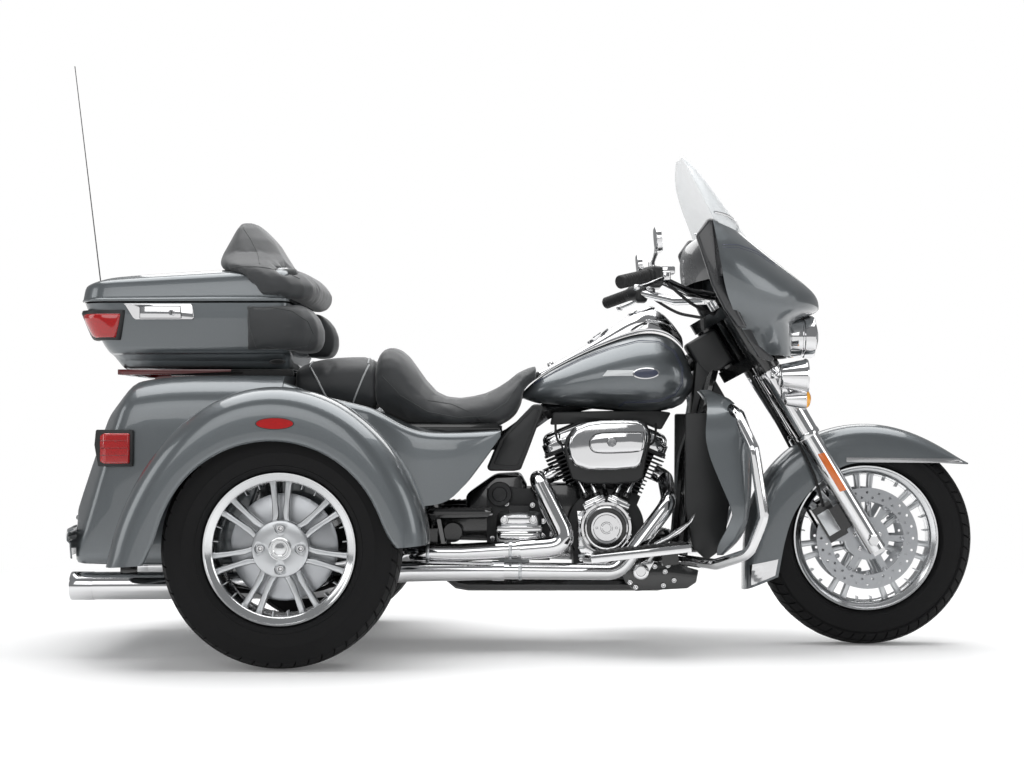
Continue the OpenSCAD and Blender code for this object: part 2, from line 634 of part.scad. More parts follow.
// Panel between the fender and the seat: side, top and bottom against x
flank_table = [[trunk_front + 2.1, trunk_half, 776], [-600, trunk_half, 758], [-520, trunk_half, 734],
    [-440, trunk_half - 3, 716], [-380, 418, 698], [-320, 398, 660], [-265, 366, 638], [-200, 322, 634],
    [-120, 276, 636], [-60, 240, 640], [-36, 222, 641]];
function flank_low(x) = x < -180 ? 427 : 427 + (x + 180) * 1.35;
// The panel's top runs inwards under the seats, to this height
function deck(x) = x < -404 ? deck_z : min(deck_z, smooth(saddle_table, x)[2] - 1.5);
module side_panel() {
    row = function (x) let (q = smooth(flank_table, x), lo = flank_low(x), w = q[1] - 170, h = q[2] - lo)
        [for (p = [[0, lo], [0, lo + h * 0.3], [0, lo + h * 0.6], [0, q[2] - min(30, h * 0.28)],
            [-5, q[2] - min(14, h * 0.15)], [-16, q[2] - min(4, h * 0.05)], [-32, q[2]], [-72, q[2] - 1],
            [-110, q[2] - 8],
            [-110 - w * 0.5, max(deck(x), q[2] - 30) * 0.2 + deck(x) * 0.8], [-110 - w * 0.75, deck(x)],
            [60 - q[1], deck(x)]]) [x, -q[1] - p[0], p[1]]];
    sheet([for (x = [trunk_front + 2.1, -560, -480, -404.5, -390, -360, -315, -270, -225,
        -170, -110, -70, -36]) row(x)], -panel_t);
}

module rear_bumper() {
    row = function (y) let (b = rear_x(300) - 8 + 46 * pow(abs(y) / trunk_half, 6))
        [for (p = [[0, 364], [-13, 358], [-17, 346], [-16, 334], [-8, 326], [-6, 300], [-4, 284]])
            [b + p[0], y, p[1]]];
    color([0.40, 0.43, 0.45])
        sheet([for (k = [-4:4]) row(k * (trunk_half - 10) / 4)], panel_t);
    color([0.40, 0.43, 0.45]) for (y = [-200, 160])
        translate([-1268.5, y, 300]) cube([1268.5 - 1232.4, 40, 30]);
}

module tail_lamps() {
    color([0.6, 0.02, 0.02]) mirrored()
        translate([-1130, trunk_half + seat_gap, 548]) hull() {
            translate([0, 0, 0]) cube([70, 24, 84]);
            translate([-16, 0, 6]) cube([70, 10, 72]);
        }
}

// Luggage box

// Rounded plan outline of the luggage box at height z
function box_ring(z, half, back, front, rb, rf) = [for (c = [[front, 1, rf, 0], [back, 1, rb, 90],
    [back, -1, rb, 180], [front, -1, rf, 270]], a = [0:22.5:90]) let (r = c[2],
        ox = (c[3] == 0 || c[3] == 270) ? c[0] - r : c[0] + r, oy = c[1] * (half - r))
        [ox + r * cos(c[3] + a), oy + r * sin(c[3] + a), z]];
box_back = -1240;
box_front = -640;
lid_hinges = [-1080, -880];
lid_pin_y = box_half + knuckle_r + 5.5;
module lid_leaf(x) {
    across_x(x - 34, x + 34, lid_pin_y, split_z, pin_r);
    for (s = [-1, 1]) {
        across_x(x + s * 27 - 6, x + s * 27 + 6, lid_pin_y, split_z, knuckle_r);
        translate([x + s * 27 - 6, box_half - 3, split_z - knuckle_r - 14])
            cube([12, lid_pin_y - box_half + 3, 16]);
    }
}
module lid_knuckle(x) {
    difference() {
        union() {
            across_x(x - 20, x + 20, lid_pin_y, split_z, knuckle_r);
            translate([x - 20, box_half - 1, split_z + shut_gap / 2 + 1])
                cube([40, lid_pin_y - box_half + 1, knuckle_r + 4]);
        }
        across_x(x - 21, x + 21, lid_pin_y, split_z, pin_r + hub_clear);
    }
}
module luggage_base() {
    rim = split_z - shut_gap / 2;
    color([0.40, 0.43, 0.45]) for (x = lid_hinges) lid_leaf(x);
    color([0.40, 0.43, 0.45]) loft([box_ring(816, box_half - 66, -1122, box_front - 10, 30, 30),
        box_ring(822, box_half - 58, -1136, box_front - 4, 40, 30),
        box_ring(856, box_half - 44, -1160, box_front, 60, 30),
        box_ring(862, box_half - 14, -1172, box_front, 70, 30),
        box_ring(900, box_half - 5, -1196, box_front, 76, 30),
        box_ring(960, box_half, -1224, box_front, 80, 30),
        box_ring(rim, box_half, box_back, box_front, 80, 30),
        box_ring(rim, box_half - box_t, box_back + box_t, box_front - box_t, 75, 25),
        box_ring(960, box_half - box_t, -1224 + box_t, box_front - box_t, 75, 25),
        box_ring(862 + box_t, box_half - 14 - box_t, -1172 + box_t, box_front - box_t, 65, 25),
        box_ring(816 + box_t, box_half - 66 - box_t, -1122 + box_t, box_front - 10 - box_t, 25, 25)]);
}

// Ring of the lid: height above the split, inset, drop of the inner skin
function lid_ring(u, in, k) = [for (p = box_ring(0, box_half - in, box_back - 6 + in * 0.45,
    box_front - in * 0.2, 84 - in * 0.2, 30)) [p[0], p[1], split_z + shut_gap / 2
    + u * smooth(lid_crown, p[0])[1] - k]];
lid_crown = [[-1252, 0.5], [-1188, 0.66], [-1033, 0.9], [-860, 1], [-634, 1]];
lid_skin = [[0, -4], [0.07, -5], [0.11, -1], [0.4, 3], [0.7, 9], [0.8, 20], [0.92, 64], [1, 160]];
module luggage_lid() {
    t = box_t;
    r = lid_rise;
    color([0.40, 0.43, 0.45]) {
        for (x = lid_hinges) lid_knuckle(x);
        loft([lid_ring(r, 163, t), lid_ring(r * 0.92, 68, t), lid_ring(r * 0.8, 25 + t * 0.4, t * 0.8),
            lid_ring(r * 0.7, 11 + t, t * 0.5), lid_ring(r * 0.4, 4 + t, 0), lid_ring(0, t, 0),
            for (q = lid_skin) lid_ring(q[0] * r, q[1], 0)]);
    }
}

// Padded backrest that the lid carries: half width, back and front against height
rest_table = [[1011, 304, -770, -574], [1030, 316, -790, -560], [1052, 318, -812, -556], [1072, 316, -828, -572],
    [1092, 308, -846, -606], [1110, 290, -862, -640], [1124, 256, -872, -668], [1140, 216, -870, -682],
    [1160, 188, -862, -692], [1200, 160, -842, -716], [1236, 124, -826, -752], [1256, 78, -816, -778],
    [1262, 30, -806, -788]];
module backrest() {
    ring = function (z) let (q = smooth(rest_table, z), mx = (q[2] + q[3]) / 2, hx = (q[3] - q[2]) / 2)
        [for (a = [0:18:342]) [mx + hx * sgn_pow(cos(a), 0.8), q[1] * sgn_pow(sin(a), 0.55), z]];
    color([0.15, 0.15, 0.15]) difference() {
        loft([for (z = [1012, 1024, 1050, 1078, 1098, 1112, 1128, 1156, 1200, 1236, 1254, 1261])
            ring(z)]);
        loft([lid_ring(-0.1 * lid_rise, -5.4, -0.4), for (q = lid_skin) lid_ring(q[0] * lid_rise, q[1] - 0.5, -0.4)]);
    }
}

// Speaker pods wrap the box's front corners: place along the wall, then how far and which way they bulge
pod_path = [[0, 9, 90], [0.5, 16, 90], [1, 24, 84], [2, 36, 58], [3, 60, 26], [4, 80, 6], [5, 90, 0], [6, 91, 0],
    [7, 78, 0]];
function pod_wall(k, s) = k <= 1 ? [-762 + 92 * k, s] : k <= 4
    ? [box_front - 30 + 31.6 * cos(120 - 30 * k), s - 30.5 + 31.6 * sin(120 - 30 * k)]
    : [box_front + seat_gap, [0, 0, 0, 0, 0, 224, 186, 152][k]];
module luggage_pods() {
    grid = function (out) [for (q = pod_path)
        [for (z = [[864, 0.78], [882, 0.94], [900, 1], [930, 0.99], [960, 0.86], [984, 0.64], [1000, 0.36]])
            let (w = pod_wall(q[0], box_half + 0.5 + lookup(z[0], [[862, -14], [900, -5], [960, 0], [1003, 0]])),
                b = out * q[1] * z[1])
            [w[0] + b * cos(q[2]), -w[1] - b * sin(q[2]), z[0]]]];
    color([0.17, 0.17, 0.17]) mirrored() between(grid(0), grid(1));
}

module luggage_lamps() {
    color([0.6, 0.02, 0.02]) mirrored() difference() {
        loft([box_ring(905, box_half + 7, -1208, -1132, 60, 8), box_ring(910, box_half + 10, -1216, -1130, 66, 10),
            box_ring(966, box_half + 12, -1242, -1118, 72, 10), box_ring(972, box_half + 9, -1240, -1120, 70, 8)]);
        loft([box_ring(862, box_half - 13.6, -1172.4, -1000, 70, 30),
            box_ring(900, box_half - 4.6, -1196.4, -1000, 76, 30),
            box_ring(960, box_half + 0.4, -1224.4, -1000, 80, 30),
            box_ring(1003, box_half + 0.4, box_back - 0.4, -1000, 80, 30)]);
        translate([-1300, -400, 850]) cube([200, 400 + box_half - 74, 200]);
    }
}

module luggage_carrier() {
    color([0.1, 0.1, 0.1]) mirrored() {
        translate([-1010, 96, trunk_top + 0.3]) cube([360, 26, 815.7 - trunk_top - 0.3]);
    }
}

module antenna() {
    foot = [-1262, 150, 928];
    tip = [-1367.4, 150, 1772];
    color([0.1, 0.1, 0.1]) {
        bar(foot, foot + 0.12 * (tip - foot), 7);
        bar(foot + 0.1 * (tip - foot), tip, 1.8);
        translate([-1272, 138, 922]) cube([1272 - 1211.3, 24, 10]);
    }
}

// Rider controls and guards

board_z = 284;
module footboards() {
    color([0.75, 0.75, 0.75]) mirrored() translate([360, 275, board_z]) rotate([0, -6.5, 0]) {
        translate([0, 54, 0]) cover(round_rect(280, 104, 22), [[0, 0.94], [5, 1], [14, 1], [23, 0.96]]);
        translate([60, -128, -34]) cube([46, 186, 26]);
        translate([60, 20, -20]) cube([46, 40, 21]);
        translate([62, rail_y + rail_r + seat_gap - 275, -100]) cube([30, 12, 92]);
    }
    color([0.75, 0.75, 0.75]) mirrored() {
        across(-229.7, 392, rail_y + rail_r + seat_gap, 240, 9);
        translate([-151, 274, 399]) cover(round_rect(188, 92, 20), [[0, 0.95], [4, 1], [10, 1], [15, 0.95]]);
    }
}

guard_r = 16;
guard_low = [700, 402, 400];
guard_high = [672, 402, 590];
guard_slot = [632, 330, 690];
guard_in = [604, 200, 716];
// Covers between the seat and the engine, and what they fasten to on the frame
cover_y = 128;
module side_covers() {
    color([0.06, 0.06, 0.06]) mirrored() translate([0, -cover_y, 0]) rotate([90, 0, 0])
        linear_extrude(height = 20) polygon([[2, 520], [22, 524], [44, 580], [70, 650], [90, 704],
            [80, 716], [58, 716], [-44, 611], [-78, 530], [-70, 520]]);
}

module engine_guard() {
    color([0.85, 0.85, 0.85]) {
        half = [[486, rail_y + rail_r + 6.6, 262], [575, 290, 258], [662, 384, 296], guard_low, guard_high,
            guard_slot, guard_in];
        tube([for (p = half) [p[0], -p[1], p[2]], [600, 0, 716],
            for (i = [len(half) - 1:-1:0]) half[i]], guard_r, 50);
    }
}

lower_table = [[290, 610, 566, 330], [330, 655, 570, 380], [386, 676, 608, 392], [443, 684, 600, 392],
    [520, 690, 566, 388], [613, 694, 545, 384], [669, 690, 546, 372], [720, 668, 560, 330],
    [752, 640, 580, 270]];
module lower_fairing() {
    grid = [for (z = [290, 320, 360, 410, 480, 560, 600, 635, 690, 730, 752])
        let (q = smooth(lower_table, z), xf = q[1] - 24, xr = q[2], w = q[3] - 14)
        [for (u = [0, 0.12, 0.26, 0.42, 0.58, 0.72, 0.84, 0.93, 1]) let (a = u * 118)
            let (y = 190 + (w - 190) * sin(min(90, a)),
                clear = max(0, min(1, (z - 560) / 70)) * min(95, max(0, 320 - y) * 0.85))
            [xr + 14 + (xf - xr) * sgn_pow(cos(max(-28, a - 18)), 0.6) * (u > 0.86 ? 1 - (u - 0.86) * 4.2 : 1)
                - clear, -y, z]]];
    color([0.40, 0.43, 0.45]) difference() {
        sheet(grid, panel_t);
        mirror([0, 1, 0]) {
            bar(guard_high, guard_slot, guard_r + seat_gap);
            bar(guard_slot, guard_in, guard_r + 5);
            translate(guard_slot) sphere(r = guard_r + 14);
        }
    }
}

// Front end

module fork() {
    color([0.75, 0.75, 0.75]) fork_frame() {
        for (s = [-1, 1]) translate([0, s * fork_half, 0]) {
            translate([0, 0, -34]) cylinder(r = slider_r, h = 400);
            translate([0, 0, 366]) cylinder(r = 24, h = leg_top - 366);
            translate([-18, -20, -46]) cube([36, 40, 70]);
        }
        across(0, 0, -fork_half, fork_half, axle_r);
        for (z = [leg_top - 190, leg_top - 22]) translate([0, 0, z]) linear_extrude(height = 34) hull() {
            for (s = [-1, 1]) translate([0, s * fork_half]) circle(r = 36);
            translate([-fork_offset, 0]) circle(r = 40);
        }
        translate([-fork_offset, 0, leg_top - 170]) cylinder(r = stem_r, h = 160);
    }
    color([0.75, 0.75, 0.75]) translate([front_axle_x - 315, -24, front_tyre_r + 549])
        cube([65 - seat_gap, 48, 40]);
}

module fork_shrouds() {
    color([0.85, 0.85, 0.85]) fork_frame() for (s = [-1, 1]) translate([0, s * fork_half, 368])
        difference() {
            cylinder(r1 = 35, r2 = 39, h = 210);
            translate([0, 0, -1]) cylinder(r = 24 + hub_clear, h = 212);
        }
}

fender_table = [[37, 373, 369], [44, 362, 322], [52, 354, 284], [62, 348, 254], [76, 344, 232],
    [90, 343, 224], [104, 344, 232], [118, 347, 224], [132, 351, 222], [146, 355, 224],
    [160, 358, 232], [172, 358, 238], [184, 363, 250], [194, 376, 266], [203, 398, 290]];
fender_half = 84;
module front_fender() {
    row = function (a) let (q = smooth(fender_table, a), ro = q[1], rl = q[2],
            cosb = a > 160 ? 1 + 0.25 * (a - 160) / 40 : 1)
        [for (p = [[0, 1], [0.34, 1], [0.62, 0.97], [0.82, 0.86], [0.94, 0.62], [1, 0.3], [1, 0],
            [1, -0.3], [0.94, -0.62], [0.82, -0.86], [0.62, -0.97], [0.34, -1], [0, -1]])
            let (r = rl + (ro - rl) * p[0])
            [front_axle_x + r * cos(a), p[1] * fender_half, front_tyre_r + r * sin(a)]];
    color([0.40, 0.43, 0.45]) {
        sheet([for (a = [37, 47, 60, 74, 88, 103, 118, 132, 146, 160, 172, 184, 194, 203]) row(a)], -panel_t);
        mirrored() fork_frame() translate([-20, fender_half + 0.5, 215])
            cube([40, fork_half - slider_r - fender_half - 0.8, 60]);
    }
}

// Fork-mounted fairing from top edge to chin: nose x and z, side x and z, half width, squareness
fairing_table = [[0, 696, 1196, 566, 1236, 318, 2.3], [0.2, 776, 1136, 574, 1180, 348, 2.3],
    [0.4, 852, 1080, 584, 1120, 360, 2.3], [0.55, 904, 1038, 594, 1066, 356, 2.4],
    [0.66, 912, 1000, 608, 1016, 340, 2.6], [0.78, 894, 952, 638, 962, 296, 3], [0.9, 860, 902, 672, 908, 232, 4],
    [1, 838, 858, 706, 862, 186, 5]];
module fairing_outer() {
    grid = [for (v = [0, 0.1, 0.2, 0.32, 0.44, 0.55, 0.62, 0.7, 0.78, 0.86, 0.94, 1])
        let (q = smooth(fairing_table, v))
        [for (u = [-1, -0.94, -0.84, -0.7, -0.54, -0.36, -0.18, 0, 0.18, 0.36, 0.54, 0.7, 0.84, 0.94, 1])
            let (f = pow(abs(u), 1.9), s = sin(90 * u))
            [q[3] + (q[1] - q[3]) * pow(1 - pow(abs(s), q[6]), 0.62) + front_shift, -q[5] * s,
                q[2] + (q[4] - q[2]) * f]]];
    color([0.40, 0.43, 0.45]) difference() {
        sheet(grid, -panel_t);
        translate([front_shift + 800, 0, lamp_z]) rotate([0, 90, 0]) cylinder(r = lamp_r + seat_gap, h = 200);
    }
}

// Point of the fairing's top edge, at share u of its half width
function fairing_top(u) = let (q = smooth(fairing_table, 0), s = sin(90 * u))
    [q[3] + (q[1] - q[3]) * pow(1 - pow(abs(s), q[6]), 0.62) + front_shift, -q[5] * s,
        q[2] + (q[4] - q[2]) * pow(abs(u), 1.9)];

// Inner panel: share down the fairing, then x and z of its middle
dash_table = [[0.04, 560, 1212], [0.2, 520, 1192], [0.35, 506, 1150], [0.45, 506, 1108], [0.52, 512, 1070]];
module fairing_inner() {
    us = [-1, -0.86, -0.68, -0.46, -0.22, 0, 0.22, 0.46, 0.68, 0.86, 1];
    shelf = [for (u = us) let (p = fairing_top(u)) [p[0] - 9, p[1] * 0.97, p[2] - 3]];
    rows = [for (v = [0.04, 0.12, 0.2, 0.28, 0.36, 0.44, 0.52]) let (d = smooth(dash_table, v),
            q = smooth(fairing_table, v), edge = [q[3] + 12, q[5] - 7, q[4]])
        [for (u = us) [d[1] + (edge[0] - d[1]) * u * u + front_shift, -edge[1] * u,
            d[2] + (edge[2] - d[2]) * u * u]]];
    color([0.08, 0.08, 0.08]) sheet([shelf, each rows], 4);
}

// Windshield: share of its height, then middle x and z, edge x and z, half width
shield_table = [[0.1, 678, 1222, 566, 1258, 308], [0.25, 650, 1264, 548, 1294, 288],
    [0.5, 604, 1330, 525, 1348, 264], [0.72, 562, 1388, 506, 1396, 224], [0.88, 532, 1430, 500, 1430, 160],
    [1, 506, 1461, 497, 1454, 66]];
module windshield() {
    us = [-0.94, -0.84, -0.7, -0.54, -0.36, -0.18, 0, 0.18, 0.36, 0.54, 0.7, 0.84, 0.94];
    foot = [for (u = us) fairing_top(u) + [0, 0, panel_t * 0.55]];
    rows = [for (v = [0.2, 0.4, 0.6, 0.8, 0.92, 1]) let (q = smooth(shield_table, v))
        [for (u = us) let (w = u / 0.94, f = w * w)
            [q[1] + (q[3] - q[1]) * f + front_shift, -q[5] * sin(90 * w), q[2] + (q[4] - q[2]) * f]]];
    color([0.8, 0.84, 0.86, 0.3]) sheet([foot, each rows], panel_t);
}

lamp_z = 920;
lamp_r = 64;
module headlamp() {
    color([0.9, 0.9, 0.9]) translate([front_shift, 0, lamp_z]) rotate([0, 90, 0]) {
        translate([0, 0, 800]) cylinder(r = lamp_r, h = 108);
        translate([0, 0, 908]) rotate_extrude() polygon([[0, 0], [lamp_r - 2, 0], [lamp_r - 6, 5], [40, 11], [0, 15]]);
    }
}

module front_lamps() {
    color([0.9, 0.6, 0.1]) translate([front_shift, 0, 0]) mirrored() {
        translate([772, 214, 796]) rotate([0, 90, 0]) cylinder(r1 = 34, r2 = 50, h = 74);
        translate([786, 206, 730]) rotate([0, 90, 0]) cylinder(r1 = 18, r2 = 31, h = 60);
        translate([776, 196, 728]) cube([16, 24, 60]);
        translate([750, fork_half + 39.4, 790]) cube([40, 40, 16]);
    }
}

bar_seat = leg_top + 12 + seat_gap;
module handlebar() {
    color([0.1, 0.1, 0.1]) {
        fork_frame() for (s = [-1, 1]) translate([-20, s * 44, bar_seat]) cylinder(r = 15, h = 38);
        translate([front_shift, 0, front_lift]) {
            tube([[300, -bar_half, 1052], [392, -330, 1080], [505, -190, 1042], [595, -80, 1037],
                [595, 80, 1037], [505, 190, 1042], [392, 330, 1080], [300, bar_half, 1052]], bar_r, 40);
            mirrored() {
                bar([300, bar_half, 1052], [375, 348, 1074.8], 19);
                bar([376, 347, 1075], [410, 308, 1074], 24);
            }
        }
    }
}

module mirrors() {
    color([0.8, 0.8, 0.8]) translate([front_shift, 0, 0]) mirrored() {
        translate([393, 327, 1099.4]) cylinder(r = 9, h = 16);
        bar([394, 329, 1110], [414, 404, 1166], 5);
        translate([412, 410, 1172]) rotate([0, -96, 0]) linear_extrude(height = 14)
            hull() for (s = [-1, 1]) translate([0, s * 30]) circle(r = 34);
    }
}

module brake_calipers() {
    color([0.15, 0.15, 0.15]) mirrored() fork_frame() {
        difference() {
            translate([-102, disc_y - 24, 46]) cube([60, 50, 112]);
            across(0, 0, disc_y - 6, disc_y + 6, disc_r + 4);
        }
        translate([-62, disc_y + 14, 64]) cube([62 - slider_r - seat_gap, fork_half + 10 - disc_y - 14, 76]);
    }
}

frame();
crankcase();
cylinders();
rocker_covers();
air_cleaner();
cam_cover();
gearbox();
primary_cover();
side_covers();
header_pipes();
color([0.86, 0.86, 0.86]) muffler(right_joint_x);  // muffler_right
color([0.86, 0.86, 0.86])  // muffler_left
    mirror([0, 1, 0]) muffler(left_joint_x);
fuel_tank();
tank_console();
rider_seat();
passenger_seat();
color([0.40, 0.43, 0.45]) side_panel();  // side_panel_right
color([0.40, 0.43, 0.45]) mirror([0, 1, 0]) side_panel();  // side_panel_left
trunk_body();
color([0.40, 0.43, 0.45]) rear_fender();  // rear_fender_right
color([0.40, 0.43, 0.45]) mirror([0, 1, 0]) rear_fender();  // rear_fender_left
rear_bumper();
tail_lamps();
rear_axle();
luggage_base();
luggage_pods();
luggage_lamps();
luggage_carrier();
antenna();
footboards();
engine_guard();
lower_fairing();  // lower_fairing_right
mirror([0, 1, 0]) lower_fairing();  // lower_fairing_left
trunk_door();
luggage_lid();
backrest();
fork();
fork_shrouds();
front_fender();
lifted() fairing_outer();
lifted() fairing_inner();
lifted() windshield();
lifted() headlamp();
lifted() front_lamps();
handlebar();
lifted() mirrors();
brake_calipers();
front_tyre();
front_rim();
brake_discs();
color([0.07, 0.07, 0.07]) rear_tyre();  // rear_tyre_right
color([0.8, 0.8, 0.8]) rear_rim();  // rear_rim_right
color([0.07, 0.07, 0.07]) mirror([0, 1, 0]) rear_tyre();  // rear_tyre_left
color([0.8, 0.8, 0.8]) mirror([0, 1, 0]) rear_rim();  // rear_rim_left
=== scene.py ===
"""Looks of a motorized trike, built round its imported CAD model."""
import json
import logging
import math
from dataclasses import dataclass, field
from enum import Enum
from typing import Callable, Iterable, Sequence

import bpy
from mathutils import Matrix, Vector

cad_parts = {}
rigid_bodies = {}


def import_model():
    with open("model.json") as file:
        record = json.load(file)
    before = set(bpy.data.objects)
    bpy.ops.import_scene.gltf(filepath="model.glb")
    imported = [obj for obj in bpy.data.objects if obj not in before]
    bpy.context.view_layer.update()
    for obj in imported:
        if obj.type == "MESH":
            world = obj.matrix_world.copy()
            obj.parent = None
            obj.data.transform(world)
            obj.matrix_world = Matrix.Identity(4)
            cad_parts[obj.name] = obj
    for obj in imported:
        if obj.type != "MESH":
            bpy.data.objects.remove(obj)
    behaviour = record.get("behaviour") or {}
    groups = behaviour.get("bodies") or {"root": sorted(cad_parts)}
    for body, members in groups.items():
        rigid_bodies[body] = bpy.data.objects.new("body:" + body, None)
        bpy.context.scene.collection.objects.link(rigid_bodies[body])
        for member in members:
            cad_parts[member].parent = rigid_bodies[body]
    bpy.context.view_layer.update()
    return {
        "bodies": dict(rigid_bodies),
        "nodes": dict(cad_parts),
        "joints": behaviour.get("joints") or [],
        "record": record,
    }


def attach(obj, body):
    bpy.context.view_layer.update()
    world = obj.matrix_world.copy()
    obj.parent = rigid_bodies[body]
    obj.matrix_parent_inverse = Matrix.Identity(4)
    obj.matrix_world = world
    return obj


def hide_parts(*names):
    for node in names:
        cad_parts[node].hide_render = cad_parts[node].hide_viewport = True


log = logging.getLogger("trike")
Point = Sequence[float]
FRAME: dict = {}


def linear(code: str) -> tuple[float, float, float, float]:
    """Turns an sRGB hex value into linear red, green, blue and alpha."""
    parts = [int(code[i:i + 2], 16) / 255 for i in (1, 3, 5)]
    r, g, b = [c / 12.92 if c <= 0.04045 else ((c + 0.055) / 1.055) ** 2.4 for c in parts]
    return r, g, b, 1.0


def add(tree: bpy.types.NodeTree, kind: str, links: dict | None = None, **settings) -> bpy.types.Node:
    """Adds a shader node.

    Args:
        tree: the material's node tree.
        kind: the node's type.
        links: input name or number to the output socket that feeds it.
        settings: node properties, or values of inputs named with underscores for spaces.

    Returns:
        The new node.
    """
    made = tree.nodes.new(kind)
    for key, value in settings.items():
        if hasattr(made, key):
            setattr(made, key, value)
        else:
            made.inputs[key.replace("_", " ")].default_value = value
    for key, socket in (links or {}).items():
        tree.links.new(socket, made.inputs[key])
    return made


class Grain(Enum):
    """How a surface is broken up."""
    NONE = "none"
    PEBBLED = "pebbled"
    CRINKLED = "crinkled"
    BRUSHED = "brushed"


@dataclass(frozen=True)
class Finish:
    """One real material and how its surface was made."""
    name: str
    colour: str
    slot: str
    metallic: float = 0.0
    roughness: float = 0.5
    second: str = ""
    patch_mm: float = 60.0
    grain: Grain = Grain.NONE
    grain_mm: float = 1.0
    depth_mm: float = 0.05
    uneven: float = 0.05
    coat: float = 0.0
    sheen: float = 0.0
    transmission: float = 0.0
    ior: float = 1.5
    alpha: float = 1.0
    glow: float = 0.0
    shine: float = 0.5

    def material(self) -> bpy.types.Material:
        """Makes the material once and returns it."""
        found = bpy.data.materials.get(self.name)
        if found:
            return found
        made = bpy.data.materials.new(self.name)
        made.use_nodes = True
        tree = made.node_tree
        shader = tree.nodes["Principled BSDF"]
        for key, value in {"Base Color": linear(self.colour), "Metallic": self.metallic,
                           "Roughness": self.roughness, "Coat Weight": self.coat,
                           "Coat Roughness": 0.04, "Sheen Weight": self.sheen,
                           "Transmission Weight": self.transmission, "IOR": self.ior,
                           "Alpha": self.alpha, "Specular IOR Level": self.shine}.items():
            shader.inputs[key].default_value = value
        if self.glow:
            shader.inputs["Emission Color"].default_value = linear(self.colour)
            shader.inputs["Emission Strength"].default_value = self.glow
        place = add(tree, "ShaderNodeTexCoord").outputs["Object"]
        patches = add(tree, "ShaderNodeTexNoise", {"Vector": place}, Scale=1000 / self.patch_mm, Detail=4.0)
        if self.second:
            mix = add(tree, "ShaderNodeMix", {0: patches.outputs["Fac"]}, data_type="RGBA")
            mix.inputs[6].default_value = linear(self.colour)
            mix.inputs[7].default_value = linear(self.second)
            tree.links.new(mix.outputs[2], shader.inputs["Base Color"])
        wear = add(tree, "ShaderNodeMapRange", {"Value": patches.outputs["Fac"]},
                   To_Min=max(0.02, self.roughness - self.uneven), To_Max=self.roughness + self.uneven)
        tree.links.new(wear.outputs["Result"], shader.inputs["Roughness"])
        self.relief(tree, shader, place)
        return made

    def relief(self, tree: bpy.types.NodeTree, shader: bpy.types.Node, place: bpy.types.NodeSocket) -> None:
        """Adds the surface's relief, at its real depth and spacing."""
        if self.grain is Grain.NONE:
            return
        scale = 1000 / self.grain_mm
        if self.grain is Grain.PEBBLED:
            height = add(tree, "ShaderNodeTexVoronoi", {"Vector": place}, feature="SMOOTH_F1", Scale=scale).outputs["Distance"]
        elif self.grain is Grain.CRINKLED:
            height = add(tree, "ShaderNodeTexNoise", {"Vector": place}, Scale=scale, Detail=6.0, Roughness=0.6).outputs["Fac"]
        else:
            along = add(tree, "ShaderNodeMapping", {"Vector": place}, Scale=(1, 12, 12))
            height = add(tree, "ShaderNodeTexNoise", {"Vector": along.outputs["Vector"]}, Scale=scale / 12, Detail=4.0).outputs["Fac"]
        bump = add(tree, "ShaderNodeBump", {"Height": height}, Strength=0.8, Distance=self.depth_mm / 1000)
        tree.links.new(bump.outputs["Normal"], shader.inputs["Normal"])


# Baked enamel with metal flake under a clear coat: cool grey with bright, soft highlights
BODY_ENAMEL = Finish("metal_flake_body_enamel", "#686d70", "body_paint", metallic=0.6, roughness=0.33,
                     second="#606568", patch_mm=2.5, coat=1.0, uneven=0.03)
# Chrome plate over polished steel: mirror bright, faintly warm
CHROME_PLATE = Finish("chrome_plated_steel", "#dcdcdd", "chrome", metallic=1.0, roughness=0.07, uneven=0.03, patch_mm=90)
# Die-cast alloy with a satin lacquer
SATIN_ALLOY = Finish("satin_lacquered_cast_alloy", "#c3c5c7", "alloy", metallic=1.0, roughness=0.3, grain=Grain.CRINKLED,
                     grain_mm=1.2, depth_mm=0.02)
# Turned and polished alloy lip
POLISHED_ALLOY = Finish("polished_turned_alloy", "#d9dadb", "alloy", metallic=1.0, roughness=0.14, uneven=0.03)
# Powder coat that wrinkles as it cures: black with a fine broken sheen
WRINKLE_BLACK = Finish("wrinkle_black_powder_coat", "#17181a", "engine_black", roughness=0.5, grain=Grain.CRINKLED,
                       grain_mm=0.9, depth_mm=0.12)
# Gloss black enamel on steel tube
GLOSS_BLACK = Finish("gloss_black_frame_enamel", "#0d0e0f", "black_paint", roughness=0.2, coat=0.7, uneven=0.05)
# Ground stainless steel of the brake discs
GROUND_STEEL = Finish("ground_stainless_steel", "#aeb0b3", "steel", metallic=1.0, roughness=0.3, grain=Grain.BRUSHED,
                      grain_mm=1.0, depth_mm=0.03)
# Machined edges left bright on black fins, and also a painted highlight: only the edges facing one way get it, standing
# in for glints
FIN_EDGE_AND_HIGHLIGHT = Finish("machined_fin_edge_and_painted_highlight", "#c9cbcd", "alloy", metallic=1.0, roughness=0.25)
# Vinyl-coated leather of the saddle: soft, pebbled, dark grey where light grazes it
SADDLE_LEATHER = Finish("pebbled_black_saddle_leather", "#26282a", "leather", roughness=0.52, second="#2e3032",
                        patch_mm=45, grain=Grain.PEBBLED, grain_mm=1.6, depth_mm=0.25, sheen=0.25)
# The plain, finer-grained panels of the pads
PLAIN_VINYL = Finish("fine_grained_grey_vinyl", "#303233", "leather", roughness=0.6, second="#363839",
                     patch_mm=30, grain=Grain.PEBBLED, grain_mm=1.0, depth_mm=0.12, sheen=0.2)
# Light grey welt sewn into the passenger's seat
GREY_WELT = Finish("light_grey_vinyl_welt", "#a9abac", "leather", roughness=0.5)
